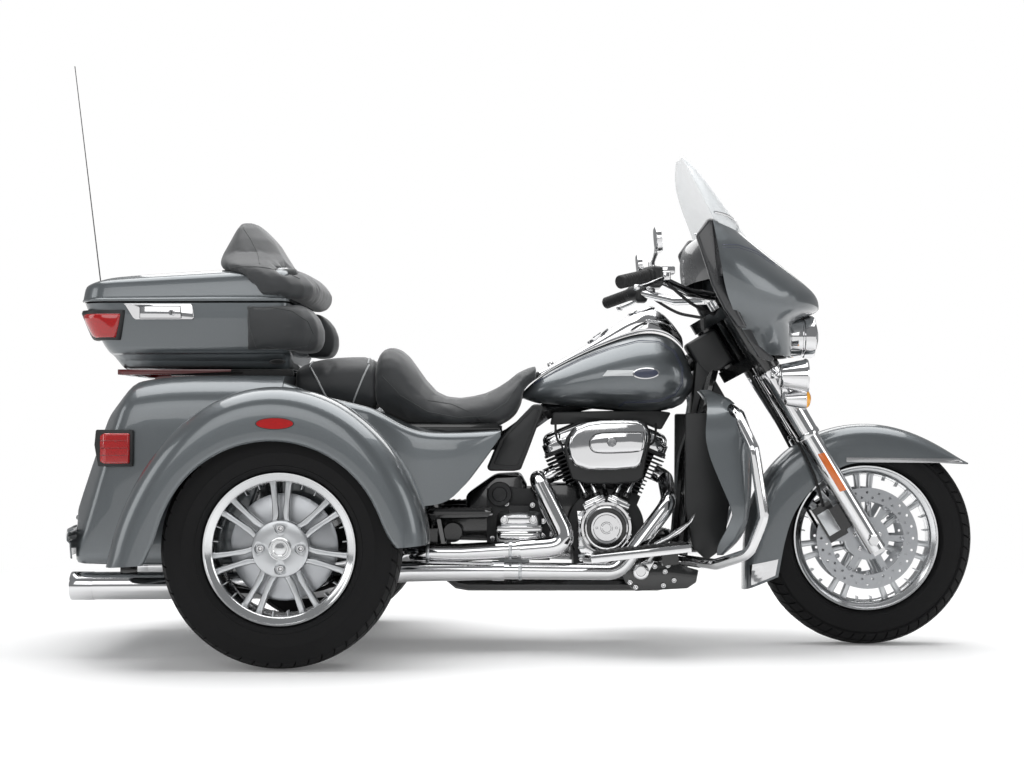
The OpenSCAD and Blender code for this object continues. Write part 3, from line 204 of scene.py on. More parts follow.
# Injection-moulded ABS with a fine spark-eroded grain
MOULDED_BLACK = Finish("moulded_black_abs", "#1b1c1d", "black_plastic", roughness=0.45, grain=Grain.CRINKLED,
                       grain_mm=1.0, depth_mm=0.04)
# Textured dark grey panels inside the fairing
DASH_GREY = Finish("painted_dark_grey_dash", "#2c2d2f", "black_plastic", roughness=0.28, coat=0.5, uneven=0.04)
# Carbon-black road rubber, slightly dusty in patches
ROAD_RUBBER = Finish("vulcanised_tyre_rubber", "#0f0f10", "tyre", roughness=0.62, second="#151516", patch_mm=50,
                     grain=Grain.CRINKLED, grain_mm=1.5, depth_mm=0.08, shine=0.18)
SOFT_RUBBER = Finish("moulded_grip_rubber", "#141415", "black_plastic", roughness=0.62, grain=Grain.CRINKLED, grain_mm=0.8,
                     depth_mm=0.06)
# Dyed acrylic lenses, moulded and clear-coated
RED_LENS = Finish("red_acrylic_lens", "#a80c0e", "red_lens", roughness=0.1, coat=1.0, glow=0.02)
# Painted glow: the reflectors glow faintly though they are no lamps, standing in for light they send back
DARK_RED_LENS = Finish("dark_red_reflector", "#5a0a0c", "red_lens", roughness=0.18, coat=0.8, glow=0.03)
AMBER_LENS = Finish("amber_acrylic_lens", "#f0a41c", "amber_lens", roughness=0.1, coat=1.0, glow=0.05)
# Painted glow: the fork reflectors glow though they are no lamps, standing in for light they send back
ORANGE_LENS = Finish("orange_reflector", "#cf6a2a", "amber_lens", roughness=0.25, coat=0.6, glow=0.08)
CLEAR_LENS = Finish("clear_polycarbonate_lens", "#f4f7f9", "lamp_glass", roughness=0.03, transmission=1.0, ior=1.49,
                    uneven=0.01)
# Cast acrylic sheet of the windshield, faintly grey at its edges
SCREEN_ACRYLIC = Finish("cast_acrylic_screen", "#dfe4e7", "screen", roughness=0.03, ior=1.45, alpha=0.26, uneven=0.01)
SCREEN_EDGE = Finish("polished_acrylic_edge", "#8d9296", "screen", roughness=0.15)
MIRROR_GLASS = Finish("silvered_mirror_glass", "#e8eaec", "chrome", metallic=1.0, roughness=0.03, uneven=0.01)
REFLECTOR = Finish("aluminised_reflector", "#f2f3f4", "chrome", metallic=1.0, roughness=0.12)
# Near-black: soot in the muffler bores, and painted shade in the latch paddle gap, key slot and socket bores
SOOT_AND_HOLE_SHADE = Finish("bore_soot_and_painted_hole_shade", "#0b0b0b", "black_plastic", roughness=0.85)
STRIPE_DARK = Finish("dark_blue_pinstripe", "#33394f", "body_paint", roughness=0.3, coat=0.6)
STRIPE_SILVER = Finish("silver_tank_flash", "#c6c8c9", "body_paint", metallic=0.4, roughness=0.35)
GAUGE_FACE = Finish("printed_gauge_face", "#e6e7e4", "black_plastic", roughness=0.45)


class Bench:
    """The modelling steps that this trike's pieces are made with."""

    def clear(self) -> None:
        """Deselects everything in object mode."""
        if bpy.context.object and bpy.context.object.mode != "OBJECT":
            bpy.ops.object.mode_set(mode="OBJECT")
        bpy.ops.object.select_all(action="DESELECT")

    def only(self, obj: bpy.types.Object) -> bpy.types.Object:
        """Selects one object alone and makes it active."""
        self.clear()
        obj.select_set(True)
        bpy.context.view_layer.objects.active = obj
        return obj

    def settle(self, obj: bpy.types.Object) -> bpy.types.Object:
        """Puts the object's place into its mesh."""
        self.only(obj)
        bpy.ops.object.transform_apply(location=True, rotation=True, scale=True)
        return obj

    def edit(self, obj: bpy.types.Object, *steps: Callable[[], object]) -> bpy.types.Object:
        """Runs the steps in edit mode with all selected at the start."""
        self.only(obj)
        bpy.ops.object.mode_set(mode="EDIT")
        bpy.ops.mesh.select_all(action="SELECT")
        for step in steps:
            step()
        bpy.ops.object.mode_set(mode="OBJECT")
        return obj

    def modify(self, obj: bpy.types.Object, kind: str, **settings) -> bpy.types.Object:
        """Adds a modifier and applies it."""
        self.only(obj)
        made = obj.modifiers.new(kind.lower(), kind)
        for key, value in settings.items():
            setattr(made, key, value)
        bpy.ops.object.modifier_apply(modifier=made.name)
        return obj

    def bevel(self, obj: bpy.types.Object, width: float, segments: int = 2, angle: float = 30) -> bpy.types.Object:
        """Rounds the edges sharper than angle degrees; no width leaves them."""
        if not width:
            return obj
        return self.modify(obj, "BEVEL", width=width, segments=segments, limit_method="ANGLE",
                           angle_limit=math.radians(angle), use_clamp_overlap=True)

    def shade(self, obj: bpy.types.Object, angle: float = 35) -> bpy.types.Object:
        """Smooths the shading over edges flatter than angle degrees."""
        self.only(obj)
        bpy.ops.object.shade_smooth_by_angle(angle=math.radians(angle))
        return obj

    def block(self, low: Point, high: Point, bevel: float = 0.002, segments: int = 2) -> bpy.types.Object:
        """Makes a block between two corners, with rounded edges."""
        a, b = Vector(low), Vector(high)
        self.clear()
        bpy.ops.mesh.primitive_cube_add(size=1, location=(a + b) / 2, scale=b - a)
        return self.bevel(self.settle(bpy.context.object), bevel, segments)

    def rod(self, start: Point, end: Point, radius: float, end_radius: float | None = None, sides: int = 32,
            bevel: float = 0.0008) -> bpy.types.Object:
        """Makes a round bar or cone between two points, with broken edges."""
        a, b = Vector(start), Vector(end)
        turn = (b - a).to_track_quat("Z", "Y").to_euler()
        self.clear()
        bpy.ops.mesh.primitive_cone_add(vertices=sides, radius1=radius, radius2=radius if end_radius is None else end_radius,
                                        depth=(b - a).length, location=(a + b) / 2, rotation=turn)
        return self.bevel(self.settle(bpy.context.object), bevel, 2, 50)

    def turned(self, centre: Point, axis: Point, profile: Sequence[Point], steps: int = 64) -> bpy.types.Object:
        """Turns a profile of [radius, height along the axis] into a closed body."""
        self.clear()
        bpy.ops.mesh.primitive_plane_add(size=0.001)
        obj = bpy.context.object
        spots = [Vector((r, 0, h)) for r, h in profile]
        bpy.ops.object.mode_set(mode="EDIT")
        bpy.ops.mesh.select_mode(type="VERT")
        bpy.ops.mesh.select_all(action="SELECT")
        bpy.ops.mesh.merge(type="CENTER")
        bpy.ops.transform.translate(value=spots[0])
        for before, after in zip(spots, spots[1:]):
            bpy.ops.mesh.extrude_region_move(TRANSFORM_OT_translate={"value": after - before})
        bpy.ops.mesh.select_all(action="SELECT")
        bpy.ops.mesh.spin(steps=steps, angle=2 * math.pi, center=(0, 0, 0), axis=(0, 0, 1))
        bpy.ops.mesh.select_all(action="SELECT")
        bpy.ops.mesh.remove_doubles(threshold=0.00001)
        bpy.ops.mesh.normals_make_consistent(inside=False)
        bpy.ops.object.mode_set(mode="OBJECT")
        obj.rotation_euler = Vector(axis).to_track_quat("Z", "Y").to_euler()
        obj.location = centre
        return self.settle(obj)

    def pipe(self, points: Sequence[Point], radius: float, smooth: bool = True, fine: int = 6,
             closed: bool = False, rounds: int = 3) -> bpy.types.Object:
        """Sweeps a round section along a curve guided by the points."""
        shape = bpy.data.curves.new("path", "CURVE")
        shape.dimensions = "3D"
        line = shape.splines.new("NURBS" if smooth else "POLY")
        line.points.add(len(points) - 1)
        for spot, place in zip(line.points, points):
            spot.co = (*place, 1)
        if smooth:
            line.order_u = 3
            line.use_endpoint_u = True
            line.resolution_u = fine
        line.use_cyclic_u = closed
        shape.bevel_depth = radius
        shape.bevel_resolution = rounds
        shape.use_fill_caps = True
        obj = bpy.data.objects.new("path", shape)
        bpy.context.collection.objects.link(obj)
        self.only(obj)
        bpy.ops.object.convert(target="MESH")
        return bpy.context.object

    def tube(self, points: Sequence[Point], radius: float, bend: float, taper: Sequence[Point] = (),
             sides: int = 24) -> bpy.types.Object:
        """Bends a round tube along corner points.

        Args:
            points: the corners.
            radius: the tube's radius, used when no taper is given.
            bend: radius of the bends.
            taper: rows of (share of the length, radius), or nothing.
            sides: sides of the section.

        Returns:
            The capped tube.
        """
        spots = [Vector(p) for p in points]
        path = [spots[0]]
        for before, here, after in zip(spots, spots[1:], spots[2:]):
            u, v = (here - before).normalized(), (after - here).normalized()
            turn = u.angle(v, 0.0)
            cut = min(bend * math.tan(turn / 2), 0.45 * (here - before).length, 0.45 * (after - here).length)
            a, b = here - u * cut, here + v * cut
            steps = max(2, int(math.degrees(turn) / 7))
            path += [(a.lerp(here, s / steps)).lerp(here.lerp(b, s / steps), s / steps) for s in range(steps + 1)]
        path.append(spots[-1])
        shape = bpy.data.curves.new("path", "CURVE")
        shape.dimensions = "3D"
        line = shape.splines.new("POLY")
        line.points.add(len(path) - 1)
        whole = sum((b - a).length for a, b in zip(path, path[1:]))
        far = 0.0
        for i, (spot, place) in enumerate(zip(line.points, path)):
            spot.co = (*place, 1)
            far += (place - path[i - 1]).length if i else 0.0
            spot.radius = self.between(taper, far / whole) if taper else radius
        shape.bevel_depth = 1.0
        shape.bevel_resolution = (sides - 4) // 4
        shape.use_fill_caps = True
        obj = bpy.data.objects.new("path", shape)
        bpy.context.collection.objects.link(obj)
        self.only(obj)
        bpy.ops.object.convert(target="MESH")
        obj = bpy.context.object
        self.edit(obj, lambda: bpy.ops.mesh.remove_doubles(threshold=0.00005),
                  lambda: bpy.ops.mesh.normals_make_consistent(inside=False))
        return obj

    def between(self, table: Sequence[Point], x: float) -> float:
        """Reads a value from a table of rows (place, value), with straight lines between them."""
        for (a, u), (b, v) in zip(table, table[1:]):
            if x <= b:
                return u + (v - u) * (x - a) / (b - a)
        return table[-1][1]

    def skin_block(self, low: Point, high: Point, round_by: float) -> bpy.types.Object:
        """Makes a block with full soft edges."""
        return self.block(low, high, round_by, 6)

    def touch(self, target: bpy.types.Object, start: Point, way: Point) -> Vector | None:
        """Returns where a line from start first meets the target, or None."""
        hit, place, _, _ = target.ray_cast(Vector(start), Vector(way).normalized())
        return place if hit else None

    def trace(self, target: bpy.types.Object, points: Sequence[Point], way: Point, lift: float,
              radius: float, fine: int = 12) -> bpy.types.Object:
        """Lays a thin round line on a surface.

        Args:
            target: the surface's object.
            points: corners of the line, before the surface.
            way: direction from the points to the surface.
            lift: how far the line's middle stands off the surface.
            radius: the line's radius.
            fine: steps between two corners.

        Returns:
            The line.
        """
        spots = []
        back = -Vector(way).normalized() * lift
        for a, b in zip(points, points[1:]):
            for step in range(fine):
                place = self.touch(target, Vector(a).lerp(Vector(b), step / fine), way)
                if place:
                    spots.append(place + back)
        last = self.touch(target, points[-1], way)
        if last:
            spots.append(last + back)
        return self.pipe(spots, radius, fine=2, rounds=1)

    def decal(self, target: bpy.types.Object, corners: Sequence[Point], way: Point, thick: float,
              oval: bool = False, cells: int = 16) -> bpy.types.Object:
        """Lays a thin plate with four corners, or an oval in them, on a curved surface."""
        self.clear()
        bpy.ops.mesh.primitive_grid_add(x_subdivisions=cells, y_subdivisions=cells, size=2)
        obj = bpy.context.object
        a, b, c, d = [Vector(p) for p in corners]
        back = -Vector(way).normalized()
        for spot in obj.data.vertices:
            u, v = spot.co.x, spot.co.y
            if oval:
                u, v = u * math.sqrt(1 - v * v / 2), v * math.sqrt(1 - u * u / 2)
            flat = a.lerp(b, (u + 1) / 2).lerp(d.lerp(c, (u + 1) / 2), (v + 1) / 2)
            spot.co = (self.touch(target, flat, way) or flat) + back * 0.0002
        self.edit(obj, lambda: bpy.ops.mesh.normals_make_consistent(inside=False))
        face = obj.data.polygons[len(obj.data.polygons) // 2]
        sign = 1.0 if face.normal.dot(back) > 0 else -1.0
        self.modify(obj, "SOLIDIFY", thickness=thick, offset=sign)
        return self.edit(obj, lambda: bpy.ops.mesh.normals_make_consistent(inside=False))

    def slab(self, outline: Sequence[Point], lift: Point, bevel: float = 0.001, segments: int = 2) -> bpy.types.Object:
        """Makes a plate from a flat outline in space, thickened by a vector."""
        self.clear()
        bpy.ops.mesh.primitive_circle_add(vertices=len(outline), fill_type="NGON")
        obj = bpy.context.object
        for spot, place in zip(obj.data.vertices, outline):
            spot.co = place
        self.edit(obj, lambda: bpy.ops.mesh.extrude_region_move(TRANSFORM_OT_translate={"value": Vector(lift)}),
                  lambda: bpy.ops.mesh.select_all(action="SELECT"),
                  lambda: bpy.ops.mesh.normals_make_consistent(inside=False))
        return self.bevel(obj, bevel, segments)

    def pick(self, obj: bpy.types.Object, test: Callable[[bpy.types.MeshPolygon], bool]) -> bpy.types.Object:
        """Selects the faces that pass a test."""
        self.only(obj)
        bpy.ops.object.mode_set(mode="EDIT")
        bpy.ops.mesh.select_mode(type="FACE")
        bpy.ops.mesh.select_all(action="DESELECT")
        bpy.ops.object.mode_set(mode="OBJECT")
        for face in obj.data.polygons:
            face.select = test(face)
        return obj

    def press(self, obj: bpy.types.Object, test: Callable[[bpy.types.MeshPolygon], bool], inset: float,
              depth: float, each: bool = False) -> bpy.types.Object:
        """Insets the faces that pass a test, and raises or sinks them."""
        self.pick(obj, test)
        bpy.ops.object.mode_set(mode="EDIT")
        bpy.ops.mesh.inset(thickness=inset, depth=depth, use_individual=each)
        bpy.ops.object.mode_set(mode="OBJECT")
        return obj

    def copy(self, obj: bpy.types.Object) -> bpy.types.Object:
        """Copies an object with a mesh of its own."""
        made = obj.copy()
        made.data = obj.data.copy()
        made.hide_render = False
        bpy.context.collection.objects.link(made)
        return made

    def join(self, pieces: Sequence[bpy.types.Object]) -> bpy.types.Object:
        """Joins several objects into the first."""
        self.clear()
        for piece in pieces:
            piece.select_set(True)
        bpy.context.view_layer.objects.active = pieces[0]
        if len(pieces) > 1:
            bpy.ops.object.join()
        return pieces[0]

    def across(self, obj: bpy.types.Object) -> bpy.types.Object:
        """Joins the piece with its mirror image on the other side."""
        twin = self.copy(obj)
        twin.data.transform(Matrix.Scale(-1, 4, (0, 1, 0)))
        twin.data.flip_normals()
        return self.join([obj, twin])

    def repeat(self, obj: bpy.types.Object, places: Iterable[Matrix]) -> bpy.types.Object:
        """Joins copies of a piece, one for each placing; the model itself is used up."""
        made = []
        for place in places:
            twin = self.copy(obj)
            twin.data.transform(place)
            made.append(twin)
        bpy.data.objects.remove(obj)
        return self.join(made)

    def bolts(self, spots: Sequence[Point], axis: Point, radius: float, height: float = 0.005,
              socket: bool = True) -> bpy.types.Object:
        """Makes screw heads at the spots, standing along the axis."""
        self.clear()
        bpy.ops.mesh.primitive_cylinder_add(vertices=12 if socket else 6, radius=radius, depth=height,
                                            location=(0, 0, height / 2))
        head = self.settle(bpy.context.object)
        if socket:
            self.press(head, lambda f: f.normal.z > 0.9, radius * 0.45, 0)
            bpy.ops.object.mode_set(mode="EDIT")
            bpy.ops.mesh.extrude_region_move(TRANSFORM_OT_translate={"value": (0, 0, -height * 0.6)})
            bpy.ops.object.mode_set(mode="OBJECT")
        self.bevel(head, radius * 0.14, 1)
        turn = Vector(axis).to_track_quat("Z", "Y").to_matrix().to_4x4()
        return self.repeat(head, [Matrix.Translation(spot) @ turn for spot in spots])

    def skin(self, node: str, levels: int = 2, sharp: float = 38, keep: float = 0.00002) -> bpy.types.Object:
        """Copies a CAD node and smooths its form.

        Args:
            node: the CAD node's name.
            levels: levels of subdivision.
            sharp: edges sharper than this many degrees stay edges.
            keep: points closer than this are merged.

        Returns:
            The smoothed copy, in the node's place.
        """
        obj = self.copy(FRAME["nodes"][node])
        obj.parent = None
        obj.matrix_world = Matrix.Identity(4)
        self.edit(obj, lambda: bpy.ops.mesh.remove_doubles(threshold=keep),
                  lambda: bpy.ops.mesh.tris_convert_to_quads(face_threshold=math.radians(50), shape_threshold=math.radians(60)),
                  lambda: bpy.ops.mesh.select_mode(type="EDGE"),
                  lambda: bpy.ops.mesh.select_all(action="DESELECT"),
                  lambda: bpy.ops.mesh.edges_select_sharp(sharpness=math.radians(sharp)))
        chosen = [e.select for e in obj.data.edges]
        crease = obj.data.attributes.get("crease_edge") or obj.data.attributes.new("crease_edge", "FLOAT", "EDGE")
        crease.data.foreach_set("value", [1.0 if c else 0.0 for c in chosen])
        if levels:
            self.modify(obj, "SUBSURF", levels=levels, render_levels=levels)
        return self.shade(obj, 42)

    def give(self, obj: bpy.types.Object, name: str, body: str, finish: Finish, *nodes: str,
             shade: float | None = 35) -> bpy.types.Object:
        """Names and dresses a finished piece, and fixes it to its body.

        Args:
            obj: the piece.
            name: its name.
            body: the body that it rides on.
            finish: its material.
            nodes: the CAD nodes that it stands for.
            shade: the angle for smooth shading, or None to leave it.

        Returns:
            The piece.
        """
        obj.name = name
        obj.data.name = name
        obj.data.materials.clear()
        obj.data.materials.append(finish.material())
        if shade is not None:
            self.shade(obj, shade)
        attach(obj, body)
        if nodes:
            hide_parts(*nodes)
        log.info("piece %s on %s: %d faces", name, body, len(obj.data.polygons))
        return obj

    def second(self, obj: bpy.types.Object, finish: Finish, test: Callable[[bpy.types.MeshPolygon], bool]) -> None:
        """Gives the faces that pass a test a further finish."""
        obj.data.materials.append(finish.material())
        place = len(obj.data.materials) - 1
        for face in obj.data.polygons:
            if test(face):
                face.material_index = place

    def dress(self, node: str, finish: Finish) -> None:
        """Gives a CAD node that stays in view its finish."""
        obj = FRAME["nodes"][node]
        obj.data.materials.clear()
        obj.data.materials.append(finish.material())
        for face in obj.data.polygons:
            face.material_index = 0
        self.shade(obj, 30)


BENCH = Bench()


def ring_points(centre: Point, radius: float, count: int, phase: float = 0.0) -> list[tuple[float, float, float]]:
    """Returns points round a circle about the Y axis through centre."""
    return [(centre[0] + radius * math.cos(math.radians(phase + 360 * i / count)), centre[1],
             centre[2] + radius * math.sin(math.radians(phase + 360 * i / count))) for i in range(count)]


@dataclass
class Studio:
    """Camera at the photograph's place, soft lights, white floor."""
    eye: tuple[float, float, float] = (0.034, -5.438, 0.655)
    tilt_deg: tuple[float, float] = (91.3, 0.41)
    lens_mm: float = 63.46

    def build(self) -> None:
        """Makes the camera, the lights, the floor and the white world."""
        data = bpy.data.cameras.new("photo_camera")
        data.lens = self.lens_mm
        data.sensor_width = 36
        camera = bpy.data.objects.new("photo_camera", data)
        camera.location = self.eye
        camera.rotation_euler = (math.radians(self.tilt_deg[0]), 0, math.radians(self.tilt_deg[1]))
        bpy.context.collection.objects.link(camera)
        bpy.context.scene.camera = camera
        bpy.context.scene.view_settings.view_transform = "Standard"
        for name, place, aim, size, power in (
                ("overhead_softbox", (0.0, 0.3, 4.2), (0, -0.1, 0.4), (6.0, 4.6), 270),
                ("camera_side_softbox", (-1.2, -5.0, 2.6), (0, 0, 0.6), (4.5, 2.2), 58),
                ("front_softbox", (4.8, -2.2, 1.9), (0.6, 0, 0.7), (2.0, 2.4), 34),
                ("rear_softbox", (-4.8, -1.6, 1.9), (-0.8, 0, 0.7), (2.0, 2.4), 30),
                ("far_side_softbox", (0, 4.5, 3.0), (0, 0, 0.6), (4.5, 2.0), 50)):
            lamp = bpy.data.lights.new(name, "AREA")
            lamp.shape = "RECTANGLE"
            lamp.size, lamp.size_y, lamp.energy = *size, power
            stand = bpy.data.objects.new(name, lamp)
            stand.location = place
            stand.rotation_euler = (Vector(aim) - Vector(place)).to_track_quat("-Z", "Y").to_euler()
            bpy.context.collection.objects.link(stand)
        BENCH.clear()
        bpy.ops.mesh.primitive_plane_add(size=60, location=(0, 0, 0))
        floor = BENCH.settle(bpy.context.object)
        floor.name = "studio_floor"
        floor.data.materials.append(self.white_floor())
        self.white_world()

    def white_floor(self) -> bpy.types.Material:
        """Matt white paper, a little uneven."""
        made = bpy.data.materials.new("white_studio_paper")
        made.use_nodes = True
        tree = made.node_tree
        shader = tree.nodes["Principled BSDF"]
        place = add(tree, "ShaderNodeTexCoord").outputs["Object"]
        # Sheets of paper vary over about two metres
        patches = add(tree, "ShaderNodeTexNoise", {"Vector": place}, Scale=0.5)
        mix = add(tree, "ShaderNodeMix", {0: patches.outputs["Fac"]}, data_type="RGBA")
        mix.inputs[6].default_value = linear("#ffffff")
        mix.inputs[7].default_value = linear("#fbfbfb")
        tree.links.new(mix.outputs[2], shader.inputs["Base Color"])
        shader.inputs["Roughness"].default_value = 0.9
        shader.inputs["Specular IOR Level"].default_value = 0.2
        # The sweep of paper: shadow shows within two metres, and the far part is plain white
        reach = add(tree, "ShaderNodeVectorMath", {0: place}, operation="LENGTH")
        far = add(tree, "ShaderNodeMapRange", {"Value": reach.outputs["Value"]}, interpolation_type="SMOOTHSTEP",
                  From_Min=1.6, From_Max=3.6, To_Min=0.1, To_Max=1.0)
        path = add(tree, "ShaderNodeLightPath")
        seen = add(tree, "ShaderNodeMath", {0: path.outputs["Is Camera Ray"], 1: path.outputs["Is Glossy Ray"]}, operation="MAXIMUM")
        shown = add(tree, "ShaderNodeMath", {0: seen.outputs[0], 1: far.outputs["Result"]}, operation="MULTIPLY")
        white = add(tree, "ShaderNodeEmission", Color=linear("#ffffff"), Strength=1.0)
        blend = add(tree, "ShaderNodeMixShader", {0: shown.outputs[0], 1: shader.outputs[0], 2: white.outputs[0]})
        tree.links.new(blend.outputs[0], tree.nodes["Material Output"].inputs["Surface"])
        return made

    def white_world(self) -> None:
        """White to the camera and through glass, softer as a light and in reflections."""
        world = bpy.data.worlds.new("white_studio")
        bpy.context.scene.world = world
        world.use_nodes = True
        tree = world.node_tree
        tree.nodes.clear()
        path = add(tree, "ShaderNodeLightPath")
        seen = add(tree, "ShaderNodeMath", {0: path.outputs["Is Camera Ray"], 1: path.outputs["Is Transmission Ray"]},
                   operation="MAXIMUM")
        soft = add(tree, "ShaderNodeBackground", Color=linear("#f4f6f8"), Strength=0.27)
        white = add(tree, "ShaderNodeBackground", Color=linear("#ffffff"), Strength=1.0)
        mix = add(tree, "ShaderNodeMixShader", {0: seen.outputs["Value"], 1: soft.outputs[0], 2: white.outputs[0]})
        add(tree, "ShaderNodeOutputWorld", {"Surface": mix.outputs[0]})


@dataclass
class Panels:
    """Painted and plated skins that keep the CAD's forms and smooth them."""
    painted: dict[str, str] = field(default_factory=lambda: {
        "fuel_tank": "chassis", "side_panel_right": "chassis", "side_panel_left": "chassis",
        "rear_fender_right": "chassis", "rear_fender_left": "chassis", "trunk_body": "chassis",
        "trunk_door": "trunk_door", "luggage_base": "chassis", "luggage_lid": "luggage_lid",
        "lower_fairing_right": "chassis", "lower_fairing_left": "chassis",
        "front_fender": "steering", "fairing_outer": "steering", "rear_bumper": "chassis"})
    plated: dict[str, str] = field(default_factory=lambda: {
        "tank_console": "chassis", "engine_guard": "chassis", "mirrors": "steering", "fork_shrouds": "steering", "front_lamps": "steering"})
    dark: dict[str, str] = field(default_factory=lambda: {"fairing_inner": "steering"})

    def build(self) -> None:
        """Makes a smoothed skin for each node."""
        for group, finish in ((self.painted, BODY_ENAMEL), (self.plated, CHROME_PLATE), (self.dark, DASH_GREY)):
            for node, body in group.items():
                levels = 1 if len(FRAME["nodes"][node].data.polygons) > 1500 else 2
                BENCH.give(BENCH.skin(node, levels), node + "_skin", body, finish, node, shade=None)
        BENCH.give(BENCH.skin("windshield", 2), "windshield_sheet", "steering", SCREEN_ACRYLIC, "windshield", shade=None)


@dataclass
class Cushion:
    """A foam pad under stretched leather, from the CAD's form."""
    node: str
    body: str
    grow: float = 0.007
    shrink: float = 0.004
    voxel: float = 0.0055

    def build(self) -> bpy.types.Object:
        """Makes the pad and swells it with cloth pressure."""
        pad = BENCH.copy(FRAME["nodes"][self.node])
        pad.parent = None
        BENCH.edit(pad, lambda: bpy.ops.mesh.remove_doubles(threshold=0.00002))
        BENCH.modify(pad, "REMESH", mode="VOXEL", voxel_size=self.voxel * 1, adaptivity=0)
        BENCH.modify(pad, "SMOOTH", factor=0.5, iterations=8)
        self.swell(pad)
        BENCH.give(pad, self.node + "_pad", self.body, SADDLE_LEATHER, self.node, shade=180)
        return pad

    def swell(self, pad: bpy.types.Object) -> None:
        """Blows the cover up a little, the way foam fills it."""
        start = [v.co.copy() for v in pad.data.vertices]
        BENCH.only(pad)
        cloth = pad.modifiers.new("cover", "CLOTH")
        cloth.settings.use_pressure = True
        cloth.settings.uniform_pressure_force = 4
        cloth.settings.effector_weights.gravity = 0
        cloth.settings.quality = 4
        for frame in range(1, 13):
            bpy.context.scene.frame_set(frame)
        bpy.ops.object.modifier_apply(modifier="cover")
        for spot, old in zip(pad.data.vertices, start):
            moved = spot.co - old
            if moved.length > self.grow:
                spot.co = old + moved * (self.grow / moved.length)
        bpy.context.scene.frame_set(1)
        BENCH.modify(pad, "SMOOTH", factor=0.5, iterations=3)


@dataclass
class Seats:
    """Saddle, pillion and backrest pads."""
    pads: tuple[Cushion, ...] = (Cushion("rider_seat", "chassis"), Cushion("passenger_seat", "chassis"),
                                 Cushion("backrest", "luggage_lid"), Cushion("luggage_pods", "chassis"))

    def build(self) -> None:
        """Makes each pad."""
        for pad in self.pads:
            pad.build()


